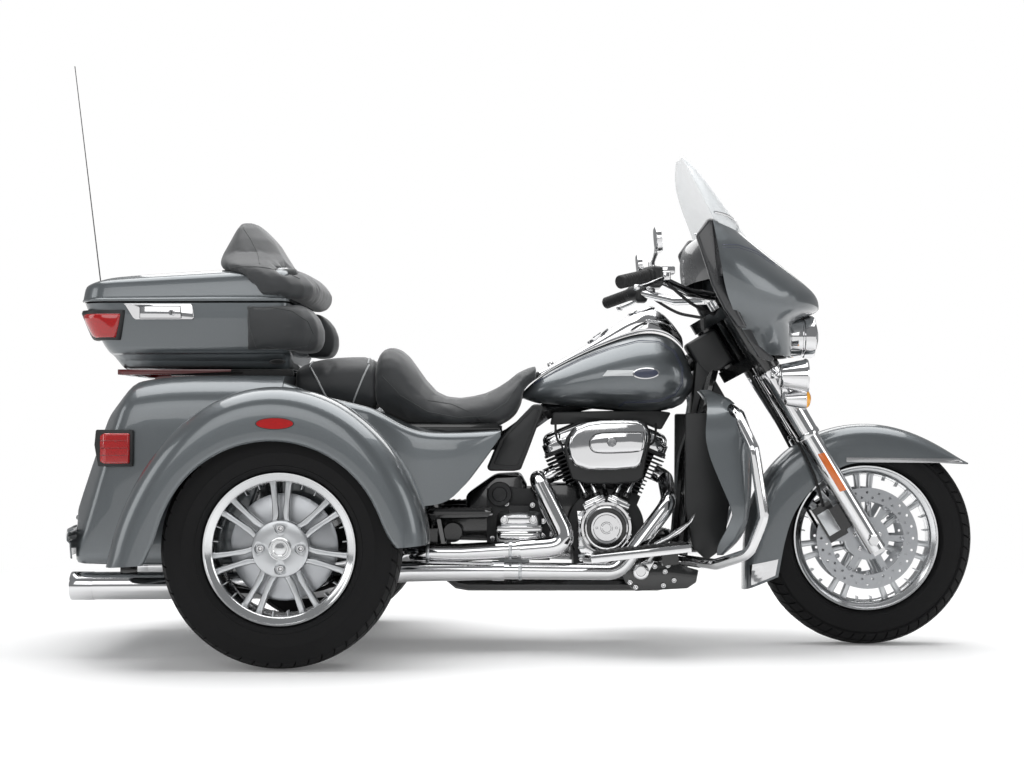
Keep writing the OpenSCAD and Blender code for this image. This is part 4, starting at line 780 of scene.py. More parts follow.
@dataclass
class RoadWheel:
    """One tyre on one cast wheel; lengths in metres, heights along the wheel's outward axle."""
    name: str
    body: str
    tyre_node: str
    rim_node: str
    centre: tuple[float, float, float]
    outward: tuple[float, float, float]
    radius: float
    width: float
    rim: float
    half: float
    face: float
    hub: float
    blocks: int
    crown: float

    def build(self) -> None:
        """Makes the tyre and the wheel."""
        self.tyre()
        self.casting()

    def tyre(self) -> None:
        """Turns the carcass, then raises tread blocks cut by slanted grooves."""
        r, h, f = self.radius - 0.006, self.width / 2 - 0.001, self.rim
        side = self.radius - f
        flank = [(f - 0.0136, self.half - 0.0128), (f + 0.0015, self.half - 0.009), (f + 0.004, self.half + 0.001),
                 (f + side * 0.10, h * 0.90), (f + side * 0.14, h * 0.925), (f + side * 0.155, h * 0.915),
                 (f + side * 0.30, h * 0.965), (f + side * 0.44, h * 0.995), (f + side * 0.46, h * 0.985),
                 (f + side * 0.58, h * 0.99), (r - self.crown * 0.92, h * 0.93)]
        tread = [(r - self.crown * 0.62, h * 0.83), (r - self.crown * 0.36, h * 0.70), (r - self.crown * 0.17, h * 0.52),
                 (r - self.crown * 0.07, h * 0.34), (r - self.crown * 0.01, h * 0.14)]
        top = flank + tread
        loop = top + [(a, -b) for a, b in reversed(top)] + [top[0]]
        made = BENCH.turned((0, 0, 0), (0, 0, 1), loop, self.blocks * 2)
        turn = 2 * math.pi / (self.blocks * 2)
        for spot in made.data.vertices:
            if math.hypot(spot.co.x, spot.co.y) > r - self.crown * 0.95:
                spot.co = Matrix.Rotation(1.4 * turn * abs(spot.co.z) / h * 2, 3, "Z") @ spot.co
        column = lambda p: int(((math.atan2(p.y, p.x) / turn) + 1000.001 - 2.8 * abs(p.z) / h) // 2)
        band = lambda p: round(p.z / h * 2.4)
        low = r - self.crown * 0.8
        for parity in (0, 1, 2):
            BENCH.press(made, lambda face: math.hypot(face.center.x, face.center.y) > low and face.area > 0.00009
                        and abs(face.normal.z) < 0.93 and (column(face.center) + band(face.center)) % 3 == parity
                        and not face.use_smooth, 0.0022, 0.0058)
            for face in made.data.polygons:
                if face.select:
                    face.use_smooth = True
        made.rotation_euler = Vector(self.outward).to_track_quat("Z", "Y").to_euler()
        made.location = self.centre
        BENCH.settle(made)
        BENCH.give(made, self.name + "_tyre", self.body, ROAD_RUBBER, self.tyre_node, shade=32)

    def casting(self) -> None:
        """Turns the rim, and sets twin spokes and ribs between it and the hub."""
        r, h = self.rim, self.half
        lip = [(r - 0.0145, h - 0.0125), (r - 0.001, h - 0.0085), (r, h - 0.003), (r - 0.0025, h), (r - 0.007, h - 0.0004),
               (r - 0.012, h - 0.0045), (r - 0.021, h - 0.008), (r - 0.0255, h - 0.013), (r - 0.0265, h - 0.024)]
        loop = lip + [(r - 0.03, 0.0)] + [(a, -b) for a, b in reversed(lip)] + [lip[0]]
        barrel = BENCH.turned(self.centre, self.outward, loop, 96)
        BENCH.give(barrel, self.name + "_rim_barrel", self.body, POLISHED_ALLOY, self.rim_node, shade=30)
        pieces = []
        reach = r - 0.027
        for side in (-1, 1):
            foot = [(self.hub - 0.012, side * 0.010), (self.hub - 0.012, side * 0.026), (self.hub + 0.008, side * 0.0225),
                    (reach * 0.7, side * 0.0235), (reach - 0.008, side * 0.0290), (reach + 0.002, side * 0.034),
                    (reach + 0.002, side * 0.0125), (reach * 0.7, side * 0.0085), (self.hub + 0.02, side * 0.0055)]
            outline = [(x, y, self.face - 0.013) for x, y in (foot if side > 0 else reversed(foot))]
            pieces.append(BENCH.slab(outline, (0, 0, 0.026), 0.0042, 3))
        pair = BENCH.join(pieces)
        spokes = BENCH.repeat(pair, [Matrix.Rotation(math.radians(90 + 360 * i / 7), 4, "Z") for i in range(7)])
        self.mount(spokes)
        BENCH.give(spokes, self.name + "_twin_spokes", self.body, SATIN_ALLOY)
        ribs = BENCH.repeat(BENCH.block((reach - 0.012, -0.0016, self.face - 0.020), (reach + 0.001, 0.0016, self.face + 0.020), 0.0008, 1),
                            [Matrix.Rotation(math.radians(90 + 360 * (i + 0.5) / 28), 4, "Z") for i in range(28) if i % 4 in (1, 2)])
        self.mount(ribs)
        BENCH.give(ribs, self.name + "_rim_ribs", self.body, SATIN_ALLOY)

    def mount(self, obj: bpy.types.Object) -> bpy.types.Object:
        """Moves a piece made about the Z axis to the wheel's place."""
        obj.rotation_euler = Vector(self.outward).to_track_quat("Z", "Y").to_euler()
        obj.location = self.centre
        return BENCH.settle(obj)


@dataclass
class Wheels:
    """The three wheels with hubs, bolts, caps and brake parts."""
    rear_hub: float = 0.077
    cap: float = 0.031

    def build(self) -> None:
        """Makes each wheel."""
        RoadWheel("front", "front_wheel", "front_tyre", "front_rim", (1.050, 0, 0.319), (0, -1, 0), 0.319, 0.130, 0.217,
                  0.045, 0.0, 0.062, 54, 0.034).build()
        self.front_hub()
        for side, sign in (("right", -1), ("left", 1)):
            RoadWheel(f"rear_{side}", f"rear_wheel_{side}", f"rear_tyre_{side}", f"rear_rim_{side}",
                      (-0.620, sign * 0.553, 0.324), (0, sign, 0), 0.324, 0.205, 0.206, 0.082, 0.038, self.rear_hub, 52,
                      0.022).build()
            self.rear_hub_parts(side, sign)

    def front_hub(self) -> None:
        """Turns the front hub and sets the disc rivets."""
        hub = BENCH.turned((1.050, 0, 0.319), (0, 1, 0), [
            (0.0125, 0.0602), (0.030, 0.0602), (0.034, 0.056), (0.036, 0.030), (0.062, 0.021), (0.066, 0.012), (0.066, -0.012),
            (0.062, -0.021), (0.036, -0.030), (0.034, -0.056), (0.030, -0.0602), (0.0125, -0.0602), (0.0125, 0.0602)], 64)
        BENCH.give(hub, "front_wheel_hub", "front_wheel", SATIN_ALLOY)
        for side, sign in (("right", -1), ("left", 1)):
            face = sign * 0.0653
            rivets = BENCH.bolts(ring_points((1.050, face, 0.319), 0.1035, 12, 0), (0, sign, 0), 0.0072, 0.0035)
            BENCH.give(rivets, f"front_disc_{side}_rivets", "front_wheel", GROUND_STEEL)
            screws = BENCH.bolts(ring_points((1.050, face, 0.319), 0.038, 5, 18), (0, sign, 0), 0.0068, 0.006)
            BENCH.give(screws, f"front_disc_{side}_screws", "front_wheel", CHROME_PLATE)

    def rear_hub_parts(self, side: str, sign: int) -> None:
        """Turns a rear hub and cap, and sets the four wheel nuts in their wells."""
        body = f"rear_wheel_{side}"
        base = Vector((-0.620, sign * 0.553, 0.324))
        hub = BENCH.turned(base, (0, sign, 0), [
            (0.0204, 0.060), (0.070, 0.060), (0.0755, 0.0575), (0.0775, 0.052), (0.0770, 0.026), (0.060, 0.012), (0.044, 0.006),
            (0.044, -0.070), (0.0204, -0.070), (0.0204, 0.060)], 72)
        wells = BENCH.join([BENCH.rod(base + Vector((0.054 * math.cos(a), sign * 0.046, 0.054 * math.sin(a))),
                                      base + Vector((0.054 * math.cos(a), sign * 0.07, 0.054 * math.sin(a))), 0.0150, bevel=0)
                            for a in (0, math.pi / 2, math.pi, -math.pi / 2)])
        BENCH.modify(hub, "BOOLEAN", operation="DIFFERENCE", object=wells, solver="EXACT")
        bpy.data.objects.remove(wells)
        BENCH.bevel(hub, 0.0012, 2, 50)
        BENCH.give(hub, f"{body}_hub", body, SATIN_ALLOY)
        nuts = BENCH.bolts(ring_points(base + Vector((0, sign * 0.046, 0)), 0.054, 4, 0), (0, sign, 0), 0.0098, 0.012)
        BENCH.give(nuts, f"{body}_nuts", body, CHROME_PLATE)
        cap = BENCH.turned(base + Vector((0, sign * 0.0600, 0)), (0, sign, 0), [
            (0.0, 0.0062), (0.008, 0.0062), (0.012, 0.0052), (0.0165, 0.0052), (0.018, 0.0064), (0.0225, 0.0064),
            (0.024, 0.0046), (0.0265, 0.0046), (0.0280, 0.0060), (0.0305, 0.0052), (0.0315, 0.0), (0.0, 0.0)], 64)
        BENCH.give(cap, f"{body}_cap", body, POLISHED_ALLOY)
        disc = BENCH.turned(base, (0, sign, 0), [
            (0.045, -0.020), (0.138, -0.020), (0.146, -0.024), (0.146, -0.034), (0.138, -0.036), (0.045, -0.036), (0.045, -0.020)], 64)
        BENCH.give(disc, f"{body}_drum", body, GROUND_STEEL)


@dataclass
class Engine:
    """Air-cooled twin with open fins, plated covers, tubes and screws."""
    crank: tuple[float, float, float] = (0.272, 0.0, 0.355)
    vee: float = math.radians(22.5)
    base: float = 0.1224
    top: float = 0.262
    fins: int = 11
    fin_half: float = 0.095
    barrel: float = 0.058

    def build(self) -> None:
        """Makes the engine's parts from the cylinders outwards."""
        self.cylinders()
        self.rockers()
        self.cases()
        self.air_cleaner()
        self.cam_cover()
        self.gearbox()
        self.primary()
        self.lines()

    def upright(self, side: int) -> Matrix:
        """Placing of the front (1) or rear (-1) cylinder, with its axis as Z."""
        return (Matrix.Translation(self.crank) @ Matrix.Rotation(side * self.vee, 4, "Y")
                @ Matrix.Translation((0, -side * 0.008, 0)))

    def fin(self, half_x: float) -> bpy.types.Object:
        """Makes one fin with rounded corners and scalloped sides."""
        r = 0.028
        outline = []
        for cx, cy, start in ((1, 1, 0), (-1, 1, 90), (-1, -1, 180), (1, -1, 270)):
            for step in range(5):
                a = math.radians(start + 22.5 * step)
                outline.append((cx * (half_x - r) + r * math.cos(a), cy * (self.fin_half - r) + r * math.sin(a), 0))
            if start in (0, 180):
                for step in range(1, 16):
                    t = step / 16
                    x = cx * (half_x - r) * (1 - 2 * t)
                    outline.append((x, cy * (self.fin_half - 0.0018 * (1 - math.cos(t * 6 * math.pi))), 0))
        return BENCH.slab(outline, (0, 0, 0.0048), 0.0012, 1)

    def cylinders(self) -> None:
        """Stacks the fins round each barrel."""
        pitch = (self.top - self.base - 0.006) / self.fins
        made = []
        for side in (-1, 1):
            stack = [BENCH.rod((0, 0, self.base), (0, 0, self.top), self.barrel)]
            for i in range(self.fins):
                fin = self.fin(0.088 if i > 3 else 0.064)
                fin.data.transform(Matrix.Translation((0, 0, self.base + 0.008 + i * pitch)))
                stack.append(fin)
            whole = BENCH.join(stack)
            whole.data.transform(self.upright(side))
            made.append(whole)
        both = BENCH.join(made)
        BENCH.give(both, "finned_cylinders", "chassis", WRINKLE_BLACK, "cylinders", shade=40)
        outer = {side: self.upright(side).to_3x3() @ Vector((side, 0, 0)) for side in (-1, 1)}
        # Painted highlight: the small faces at the fin edges, facing forward on the front cylinder and back on the rear
        # one, are made bright, partly as machined edges and partly as glints
        BENCH.second(both, FIN_EDGE_AND_HIGHLIGHT, lambda f: f.area < 0.0002 and f.normal.dot(
            outer[1 if f.center.x > self.crank[0] + 0.04 else -1]) > 0.55)

    def rockers(self) -> None:
        """Sets the stepped rocker boxes on the heads, with their screws."""
        covers = BENCH.bevel(BENCH.skin("rocker_covers", 0), 0.0025, 3, 25)
        BENCH.give(covers, "rocker_boxes", "chassis", CHROME_PLATE, "rocker_covers", shade=40)
        BENCH.second(covers, SATIN_ALLOY, lambda f: abs(f.center.y) < 0.01)
        heads, screws, ribs = [], [], []
        for side in (-1, 1):
            place = self.upright(side)
            head = BENCH.block((-0.084, -0.0925, self.top - 0.006), (0.084, 0.0925, self.top + 0.003), 0.003)
            head.data.transform(place)
            heads.append(head)
            low = BENCH.bolts([(x, -0.0908, self.top + 0.013) for x in (-0.062, 0.062)], (0, -1, 0), 0.0062, 0.004)
            high = BENCH.bolts([(x, y, self.top + 0.0285) for x in (-0.070, 0.070) for y in (-0.070, 0.070)], (0, 0, 1), 0.0058,
                               0.005)
            pair = BENCH.join([low, high])
            pair.data.transform(place)
            screws.append(pair)
            for z in (0.294, 0.304):
                rib = BENCH.block((-0.060, -0.0815, z), (0.060, -0.074, z + 0.004), 0.0018)
                rib.data.transform(place)
                ribs.append(rib)
        BENCH.give(BENCH.join(heads), "cylinder_head_joints", "chassis", WRINKLE_BLACK)
        BENCH.give(BENCH.join(screws), "rocker_box_screws", "chassis", CHROME_PLATE)
        BENCH.give(BENCH.join(ribs), "rocker_box_ribs", "chassis", CHROME_PLATE)
        tubes, caps = [], []
        for side in (-1, 1):
            for lean in (0, 1):
                foot = Vector((self.crank[0] + side * (0.026 + lean * 0.030), -0.139, 0.441))
                head = Vector((self.crank[0] + side * (0.078 + lean * 0.048), -0.100, 0.600))
                tubes.append(BENCH.rod(foot, head, 0.0085, bevel=0))
                caps.append(BENCH.rod(foot, foot + (head - foot) * 0.09, 0.012))
                caps.append(BENCH.rod(foot + (head - foot) * 0.5, foot + (head - foot) * 0.56, 0.0105))
        BENCH.give(BENCH.join(tubes), "pushrod_tubes", "chassis", CHROME_PLATE)
        BENCH.give(BENCH.join(caps), "pushrod_tube_collars", "chassis", GLOSS_BLACK)
        for side, mark in ((-1, "rear"), (1, "front")):
            place = self.upright(side)
            lead = BENCH.pipe([place @ Vector(p) for p in ((0.0, -0.085, self.top + 0.006), (side * 0.02, -0.118, self.top + 0.002),
                              (side * 0.04, -0.13, self.top + 0.03), (side * 0.02, -0.10, self.top + 0.075))], 0.0036, rounds=2)
            BENCH.give(lead, f"{mark}_plug_lead", "chassis", SOFT_RUBBER)

    def cases(self) -> None:
        """Dresses the crankcase and adds its flange, ribs and screws."""
        case = BENCH.bevel(BENCH.skin("crankcase", 0), 0.003, 2, 30)
        BENCH.give(case, "crankcase_halves", "chassis", WRINKLE_BLACK, "crankcase", shade=40)
        flange = BENCH.slab([(x, -0.121, z) for x, z in ((0.186, 0.404), (0.190, 0.300), (0.206, 0.246), (0.262, 0.246),
                            (0.318, 0.268), (0.352, 0.318), (0.330, 0.30), (0.262, 0.285), (0.225, 0.30), (0.212, 0.404))],
                            (0, -0.020, 0), 0.003)
        BENCH.give(flange, "cam_side_flange", "chassis", CHROME_PLATE)
        ribs = BENCH.join([BENCH.block((0.1895, -0.1475, z), (0.2085, -0.140, z + 0.008), 0.0022)
                           for z in (0.268, 0.292, 0.318, 0.342, 0.366, 0.388)])
        BENCH.give(ribs, "cam_side_ribs", "chassis", SATIN_ALLOY)
        screws = BENCH.bolts([(0.198, -0.141, 0.262), (0.236, -0.141, 0.264), (0.300, -0.141, 0.276), (0.199, -0.141, 0.397)],
                             (0, -1, 0), 0.0062, 0.005)
        BENCH.give(screws, "cam_side_screws", "chassis", CHROME_PLATE)
        filter_can = BENCH.turned((0.395, 0, 0.262), (1, 0, -0.25), [
            (0.0, 0.0), (0.030, 0.0), (0.034, 0.003), (0.036, 0.010), (0.036, 0.060), (0.033, 0.068), (0.024, 0.072), (0.0, 0.073),
            (0.0, 0.0)], 48)
        BENCH.give(filter_can, "oil_filter_can", "chassis", GLOSS_BLACK)

    def air_cleaner(self) -> None:
        """Lofts the plated cover with its raised panel, over a black backing plate, and lays a painted shade line in
        the crease round the panel.
        """
        cx, cz = self.crank[0] + 0.002, self.crank[2] + 0.243
        outline = [(-118, -8), (-112, 22), (-92, 50), (-56, 64), (-20, 69), (40, 71), (86, 70), (106, 62), (118, 38), (116, 6),
                   (98, -56), (80, -70), (20, -75), (-56, -74), (-96, -62), (-112, -38)]
        base = BENCH.slab([(cx + x * 0.001, -0.1600, cz + z * 0.001) for x, z in outline], (0, -0.034, 0), 0.004, 2)
        cover = BENCH.slab([(cx + x * 0.00099, -0.1930, cz + z * 0.00098) for x, z in outline], (0, -0.0335, 0), 0.015, 4)
        BENCH.give(BENCH.join([base, cover]), "air_cleaner_cover", "chassis", CHROME_PLATE, "air_cleaner", shade=50)
        plate = BENCH.slab([(cx + x * 0.00107, -0.150, cz + (z - 4) * 0.00108 - (0.030 if z < -40 else 0)) for x, z in outline],
                           (0, -0.022, 0), 0.006, 3)
        BENCH.give(plate, "air_cleaner_backing", "chassis", MOULDED_BLACK)
        panel = [(96, 34), (102, 6), (96, -18), (20, -22), (-28, -22), (-44, -17), (-52, -2), (-50, 14), (-38, 27), (-18, 32),
                 (40, 34)]
        groove = BENCH.slab([(cx + x * 0.001, -0.2240, cz + z * 0.001) for x, z in panel], (0, -0.0062, 0), 0.0028, 3)
        BENCH.give(groove, "air_cleaner_raised_panel", "chassis", CHROME_PLATE, shade=50)
        # Painted shade: a thin black line round the foot of the raised panel darkens the crease
        rim = BENCH.pipe([(cx + x * 0.00106, -0.2262, cz + (z - 6) * 0.00108 + 0.006) for x, z in panel], 0.0016, closed=True, rounds=2)
        BENCH.give(rim, "air_cleaner_panel_groove_painted_shade", "chassis", GLOSS_BLACK)
        bolt = BENCH.turned((cx + 0.010, -0.2300, cz + 0.008), (0, -1, 0), [
            (0.0, 0.0035), (0.0045, 0.0035), (0.0055, 0.0020), (0.0085, 0.0020), (0.0098, 0.0046), (0.0128, 0.0046), (0.0142, 0.003),
            (0.0142, 0.0), (0.0, 0.0)], 40)
        BENCH.give(bolt, "air_cleaner_bolt", "chassis", CHROME_PLATE)

    def cam_cover(self) -> None:
        """Turns the ringed cam cover and sets the two stepped lifter blocks."""
        face = (self.crank[0], -0.1203, self.crank[2])
        cover = BENCH.turned(face, (0, -1, 0), [
            (0.0, 0.0490), (0.0120, 0.0490), (0.0135, 0.0500), (0.0165, 0.0500), (0.0180, 0.0486), (0.0375, 0.0486),
            (0.0395, 0.0535), (0.0450, 0.0537), (0.0470, 0.0500), (0.0482, 0.0440), (0.0560, 0.0440), (0.0585, 0.0455),
            (0.0620, 0.0450), (0.0640, 0.0410), (0.0645, 0.0300), (0.0665, 0.0285), (0.0735, 0.0285), (0.0775, 0.0255),
            (0.0780, 0.0), (0.0, 0.0)], 96)
        BENCH.give(cover, "cam_cover_rings", "chassis", CHROME_PLATE, "cam_cover", shade=28)
        radius = lambda f: math.hypot(f.center.x - face[0], f.center.z - face[2])
        BENCH.second(cover, GLOSS_BLACK, lambda f: (0.0465 < radius(f) < 0.0580 or 0.0640 < radius(f) < 0.0672)
                     and f.normal.y < -0.4)
        screws = BENCH.bolts([(face[0] + 0.0285, -0.1689, face[2]), (face[0] - 0.0285, -0.1689, face[2])], (0, -1, 0), 0.0042, 0.0022)
        rim = BENCH.bolts(ring_points((face[0], -0.1488, face[2]), 0.0715, 8, 22), (0, -1, 0), 0.0048, 0.0034)
        BENCH.give(BENCH.join([screws, rim]), "cam_cover_screws", "chassis", CHROME_PLATE)
        blocks, bolts = [], []
        for side in (-1, 1):
            place = Matrix.Translation(self.crank) @ Matrix.Rotation(side * math.radians(26), 4, "Y")
            low = BENCH.block((-0.034, -0.158, 0.074), (0.034, -0.121, 0.086), 0.003)
            high = BENCH.block((-0.026, -0.152, 0.085), (0.026, -0.125, 0.0955), 0.003)
            pair = BENCH.join([low, high])
            heads = BENCH.bolts([(x, -0.1475, 0.086) for x in (-0.030, 0.030)], (0, 0, 1), 0.0042, 0.005)
            nose = BENCH.bolts([(0.0, -0.1582, 0.080)], (0, -1, 0), 0.0046, 0.0036)
            heads = BENCH.join([heads, nose])
            for piece, group in ((pair, blocks), (heads, bolts)):
                piece.data.transform(place)
                group.append(piece)
        BENCH.give(BENCH.join(blocks), "lifter_blocks", "chassis", CHROME_PLATE)
        BENCH.give(BENCH.join(bolts), "lifter_block_bolts", "chassis", SATIN_ALLOY)

    def gearbox(self) -> None:
        """Dresses the gearbox and sets its plated side cover and ringed bolts."""
        box = BENCH.bevel(BENCH.skin("gearbox", 0), 0.004, 3, 30)
        BENCH.give(box, "gearbox_case", "chassis", WRINKLE_BLACK, "gearbox", shade=40)
        BENCH.second(box, SATIN_ALLOY, lambda f: f.center.y < -0.1215 and f.center.z < 0.407)
        bar = BENCH.block((-0.046, -0.1905, 0.3150), (0.080, -0.146, 0.3470), 0.012, 4)
        step = BENCH.block((-0.050, -0.184, 0.343), (0.084, -0.142, 0.3625), 0.005, 3)
        top = BENCH.block((-0.034, -0.180, 0.3655), (0.066, -0.150, 0.3925), 0.006, 3)
        neck = BENCH.block((-0.018, -0.172, 0.355), (0.052, -0.146, 0.375), 0.004, 3)
        BENCH.give(BENCH.join([bar, step, top, neck]), "gearbox_side_cover", "chassis", CHROME_PLATE, shade=40)
        ears = BENCH.turned((0, 0, 0), (0, -1, 0), [(0.0, 0.0), (0.0125, 0.0), (0.0125, 0.032), (0.0105, 0.034), (0.0078, 0.034),
                            (0.0066, 0.0315), (0.0, 0.0315), (0.0, 0.0)], 32)
        ears = BENCH.repeat(ears, [Matrix.Translation((x, -0.150, 0.3790)) for x in (-0.026, 0.058)])
        BENCH.give(ears, "gearbox_cover_ears", "chassis", CHROME_PLATE)
        screws = BENCH.bolts([(-0.068, -0.1205, 0.396), (-0.020, -0.1205, 0.424), (0.056, -0.1205, 0.420), (-0.062, -0.1205, 0.322),
                              (0.086, -0.1205, 0.330), (0.088, -0.1205, 0.372)], (0, -1, 0), 0.0082, 0.010)
        BENCH.give(screws, "gearbox_case_screws", "chassis", CHROME_PLATE)
        starter = BENCH.turned((-0.040, -0.112, 0.452), (0, -1, 0), [
            (0.0, 0.0), (0.036, 0.0), (0.036, 0.022), (0.034, 0.026), (0.022, 0.028), (0.020, 0.034), (0.008, 0.036), (0.0, 0.036),
            (0.0, 0.0)], 40)
        BENCH.give(starter, "starter_motor_end", "chassis", WRINKLE_BLACK)

    def primary(self) -> None:
        """Smooths the clutch-side cover and sets its round lids and screws."""
        cover = BENCH.bevel(BENCH.skin("primary_cover", 0), 0.008, 4, 30)
        BENCH.give(cover, "clutch_side_cover", "chassis", CHROME_PLATE, "primary_cover", shade=45)
        lid = [(0.0, 0.006), (0.050, 0.0055), (0.056, 0.004), (0.060, 0.0055), (0.068, 0.0045), (0.0705, 0.0), (0.0, 0.0)]
        BENCH.give(BENCH.turned((0.017, 0.1960, 0.340), (0, 1, 0), lid, 72), "clutch_lid", "chassis", CHROME_PLATE)
        small = [(a * 0.7, b) for a, b in lid]
        BENCH.give(BENCH.turned((0.272, 0.1920, 0.345), (0, 1, 0), small, 64), "primary_inspection_lid", "chassis", CHROME_PLATE)
        screws = BENCH.bolts(ring_points((0.017, 0.2012, 0.340), 0.064, 6, 30), (0, 1, 0), 0.0046, 0.003)
        edge = BENCH.bolts([(0.272 + 0.098 * math.cos(a), 0.1796, 0.345 + 0.098 * math.sin(a))
                            for a in [math.radians(v) for v in (-80, -40, 0, 40, 80)]]
                           + [(0.017 - 0.082 * math.cos(a), 0.1796, 0.340 + 0.082 * math.sin(a))
                              for a in [math.radians(v) for v in (-70, -30, 30, 70)]], (0, 1, 0), 0.0055, 0.005)
        BENCH.give(BENCH.join([screws, edge]), "clutch_cover_screws", "chassis", SATIN_ALLOY)
        horn = BENCH.skin_block((0.212, 0.112, 0.560), (0.330, 0.176, 0.660), 0.022)
        BENCH.give(horn, "horn_cover", "chassis", CHROME_PLATE, shade=50)
        stay = BENCH.block((0.262, 0.060, 0.600), (0.282, 0.120, 0.622), 0.003)
        BENCH.give(stay, "horn_stay", "chassis", GLOSS_BLACK)

    def lines(self) -> None:
        """Runs the engine's breather."""
        path = ((0.262, -0.150, 0.530), (0.258, -0.146, 0.500), (0.268, -0.130, 0.470), (0.272, -0.118, 0.450))
        BENCH.give(BENCH.pipe(path, 0.007, rounds=2), "breather_pipe", "chassis", GLOSS_BLACK)


@dataclass
class Exhaust:
    """Plated header pipes with shields and clamps, and two mufflers."""
    pipe: float = 0.024
    rear_run: tuple = ((0.127, -0.048, 0.515), (0.084, -0.048, 0.494), (0.067, -0.222, 0.500), (0.164, -0.236, 0.306),
                       (-0.150, -0.236, 0.288), (-0.285, -0.236, 0.288), (-0.330, -0.150, 0.250), (-0.330, 0.150, 0.250),
                       (-0.360, 0.236, 0.236), (-0.380, 0.236, 0.236))
    front_run: tuple = ((0.417, -0.048, 0.515), (0.451, -0.048, 0.498), (0.454, -0.190, 0.430), (0.302, -0.222, 0.232),
                        (0.014, -0.236, 0.236), (-0.046, -0.236, 0.236))

    def build(self) -> None:
        """Makes the pipes, shields, clamps and mufflers."""
        rear = BENCH.tube(self.rear_run, self.pipe, 0.060)
        front = BENCH.tube(self.front_run, self.pipe, 0.060)
        BENCH.give(BENCH.join([rear, front]), "header_pipe_runs", "chassis", CHROME_PLATE, "header_pipes", shade=60)
        shields = [BENCH.tube(((-0.026, -0.236, 0.236), (-0.040, -0.236, 0.236), (-0.060, -0.236, 0.236)), 0.029, 0.02),
                   BENCH.tube(((-0.024, -0.236, 0.2955), (-0.150, -0.236, 0.288), (-0.250, -0.236, 0.288)), 0.0262, 0.02),
                   BENCH.tube(((0.074, -0.222, 0.486), (0.164, -0.238, 0.308), (0.020, -0.238, 0.2965)), 0.0300, 0.055),
                   BENCH.tube(((0.010, -0.236, 0.2975), (0.118, -0.236, 0.303)), 0.0262, 0.02)]
        BENCH.give(BENCH.join(shields), "pipe_heat_shields", "chassis", CHROME_PLATE, shade=60)
        straps, screws = [], []
        for x, z, r in ((-0.008, 0.296, 0.0280), (-0.245, 0.288, 0.0280), (0.020, 0.2355, 0.0262)):
            straps.append(BENCH.rod((x - 0.005, -0.236, z), (x + 0.005, -0.236, z), r))
            screws.append((x, -0.236 - r * 0.7, z - r * 0.72))
        BENCH.give(BENCH.join(straps), "pipe_clamps", "chassis", SATIN_ALLOY)
        BENCH.give(BENCH.bolts(screws, (0, -0.7, -0.7), 0.0042, 0.006), "pipe_clamp_screws", "chassis", GROUND_STEEL)
        for side, sign, joint in (("right", -1, -0.046), ("left", 1, -0.380)):
            self.muffler(side, sign, joint)

    def muffler(self, side: str, sign: int, joint: float) -> None:
        """Tapers one muffler out of its pipe and opens its end."""
        path = [(joint - 0.0003, 0.236 * sign, 0.236), (joint - 0.040, 0.236 * sign, 0.236),
                (min(joint - 0.060, -0.330), 0.262 * sign, 0.236), (-0.560, 0.372 * sign, 0.208), (-1.236, 0.372 * sign, 0.204)]
        body = BENCH.tube(path, 1.0, 0.160, [(0, 0.027), (0.14, 0.027), (0.24, 0.031), (0.4, 0.039), (1, 0.039)], 40)
        BENCH.press(body, lambda f: f.normal.x < -0.9 and f.center.x < -1.23, 0.0035, 0)
        bpy.ops.object.mode_set(mode="EDIT")
        bpy.ops.mesh.extrude_region_move(TRANSFORM_OT_translate={"value": (0.09, 0, 0)})
        bpy.ops.object.mode_set(mode="OBJECT")
        BENCH.give(body, f"muffler_{side}_shell", "chassis", CHROME_PLATE, f"muffler_{side}", shade=50)
        BENCH.second(body, SOOT_AND_HOLE_SHADE, lambda f: math.hypot(f.center.y - 0.372 * sign, f.center.z - 0.204) < 0.0362
                     and f.center.x < -1.10)
        tip = BENCH.turned((-1.2360, 0.372 * sign, 0.204), (1, 0, 0), [
            (0.0352, 0.0), (0.0392, 0.0), (0.0402, 0.003), (0.0402, 0.060), (0.0392, 0.064), (0.0386, 0.064), (0.0352, 0.04),
            (0.0352, 0.0)], 48)
        BENCH.give(tip, f"muffler_{side}_tip", "chassis", CHROME_PLATE)
        hangers = [BENCH.block((x, 0.363 * sign if sign > 0 else -0.381, 0.232), (x + 0.046, 0.381 * sign if sign > 0 else -0.363, 0.2615),
                               0.003) for x in (-0.830, -1.100)]
        BENCH.give(BENCH.join(hangers), f"muffler_{side}_hangers", "chassis", GLOSS_BLACK)


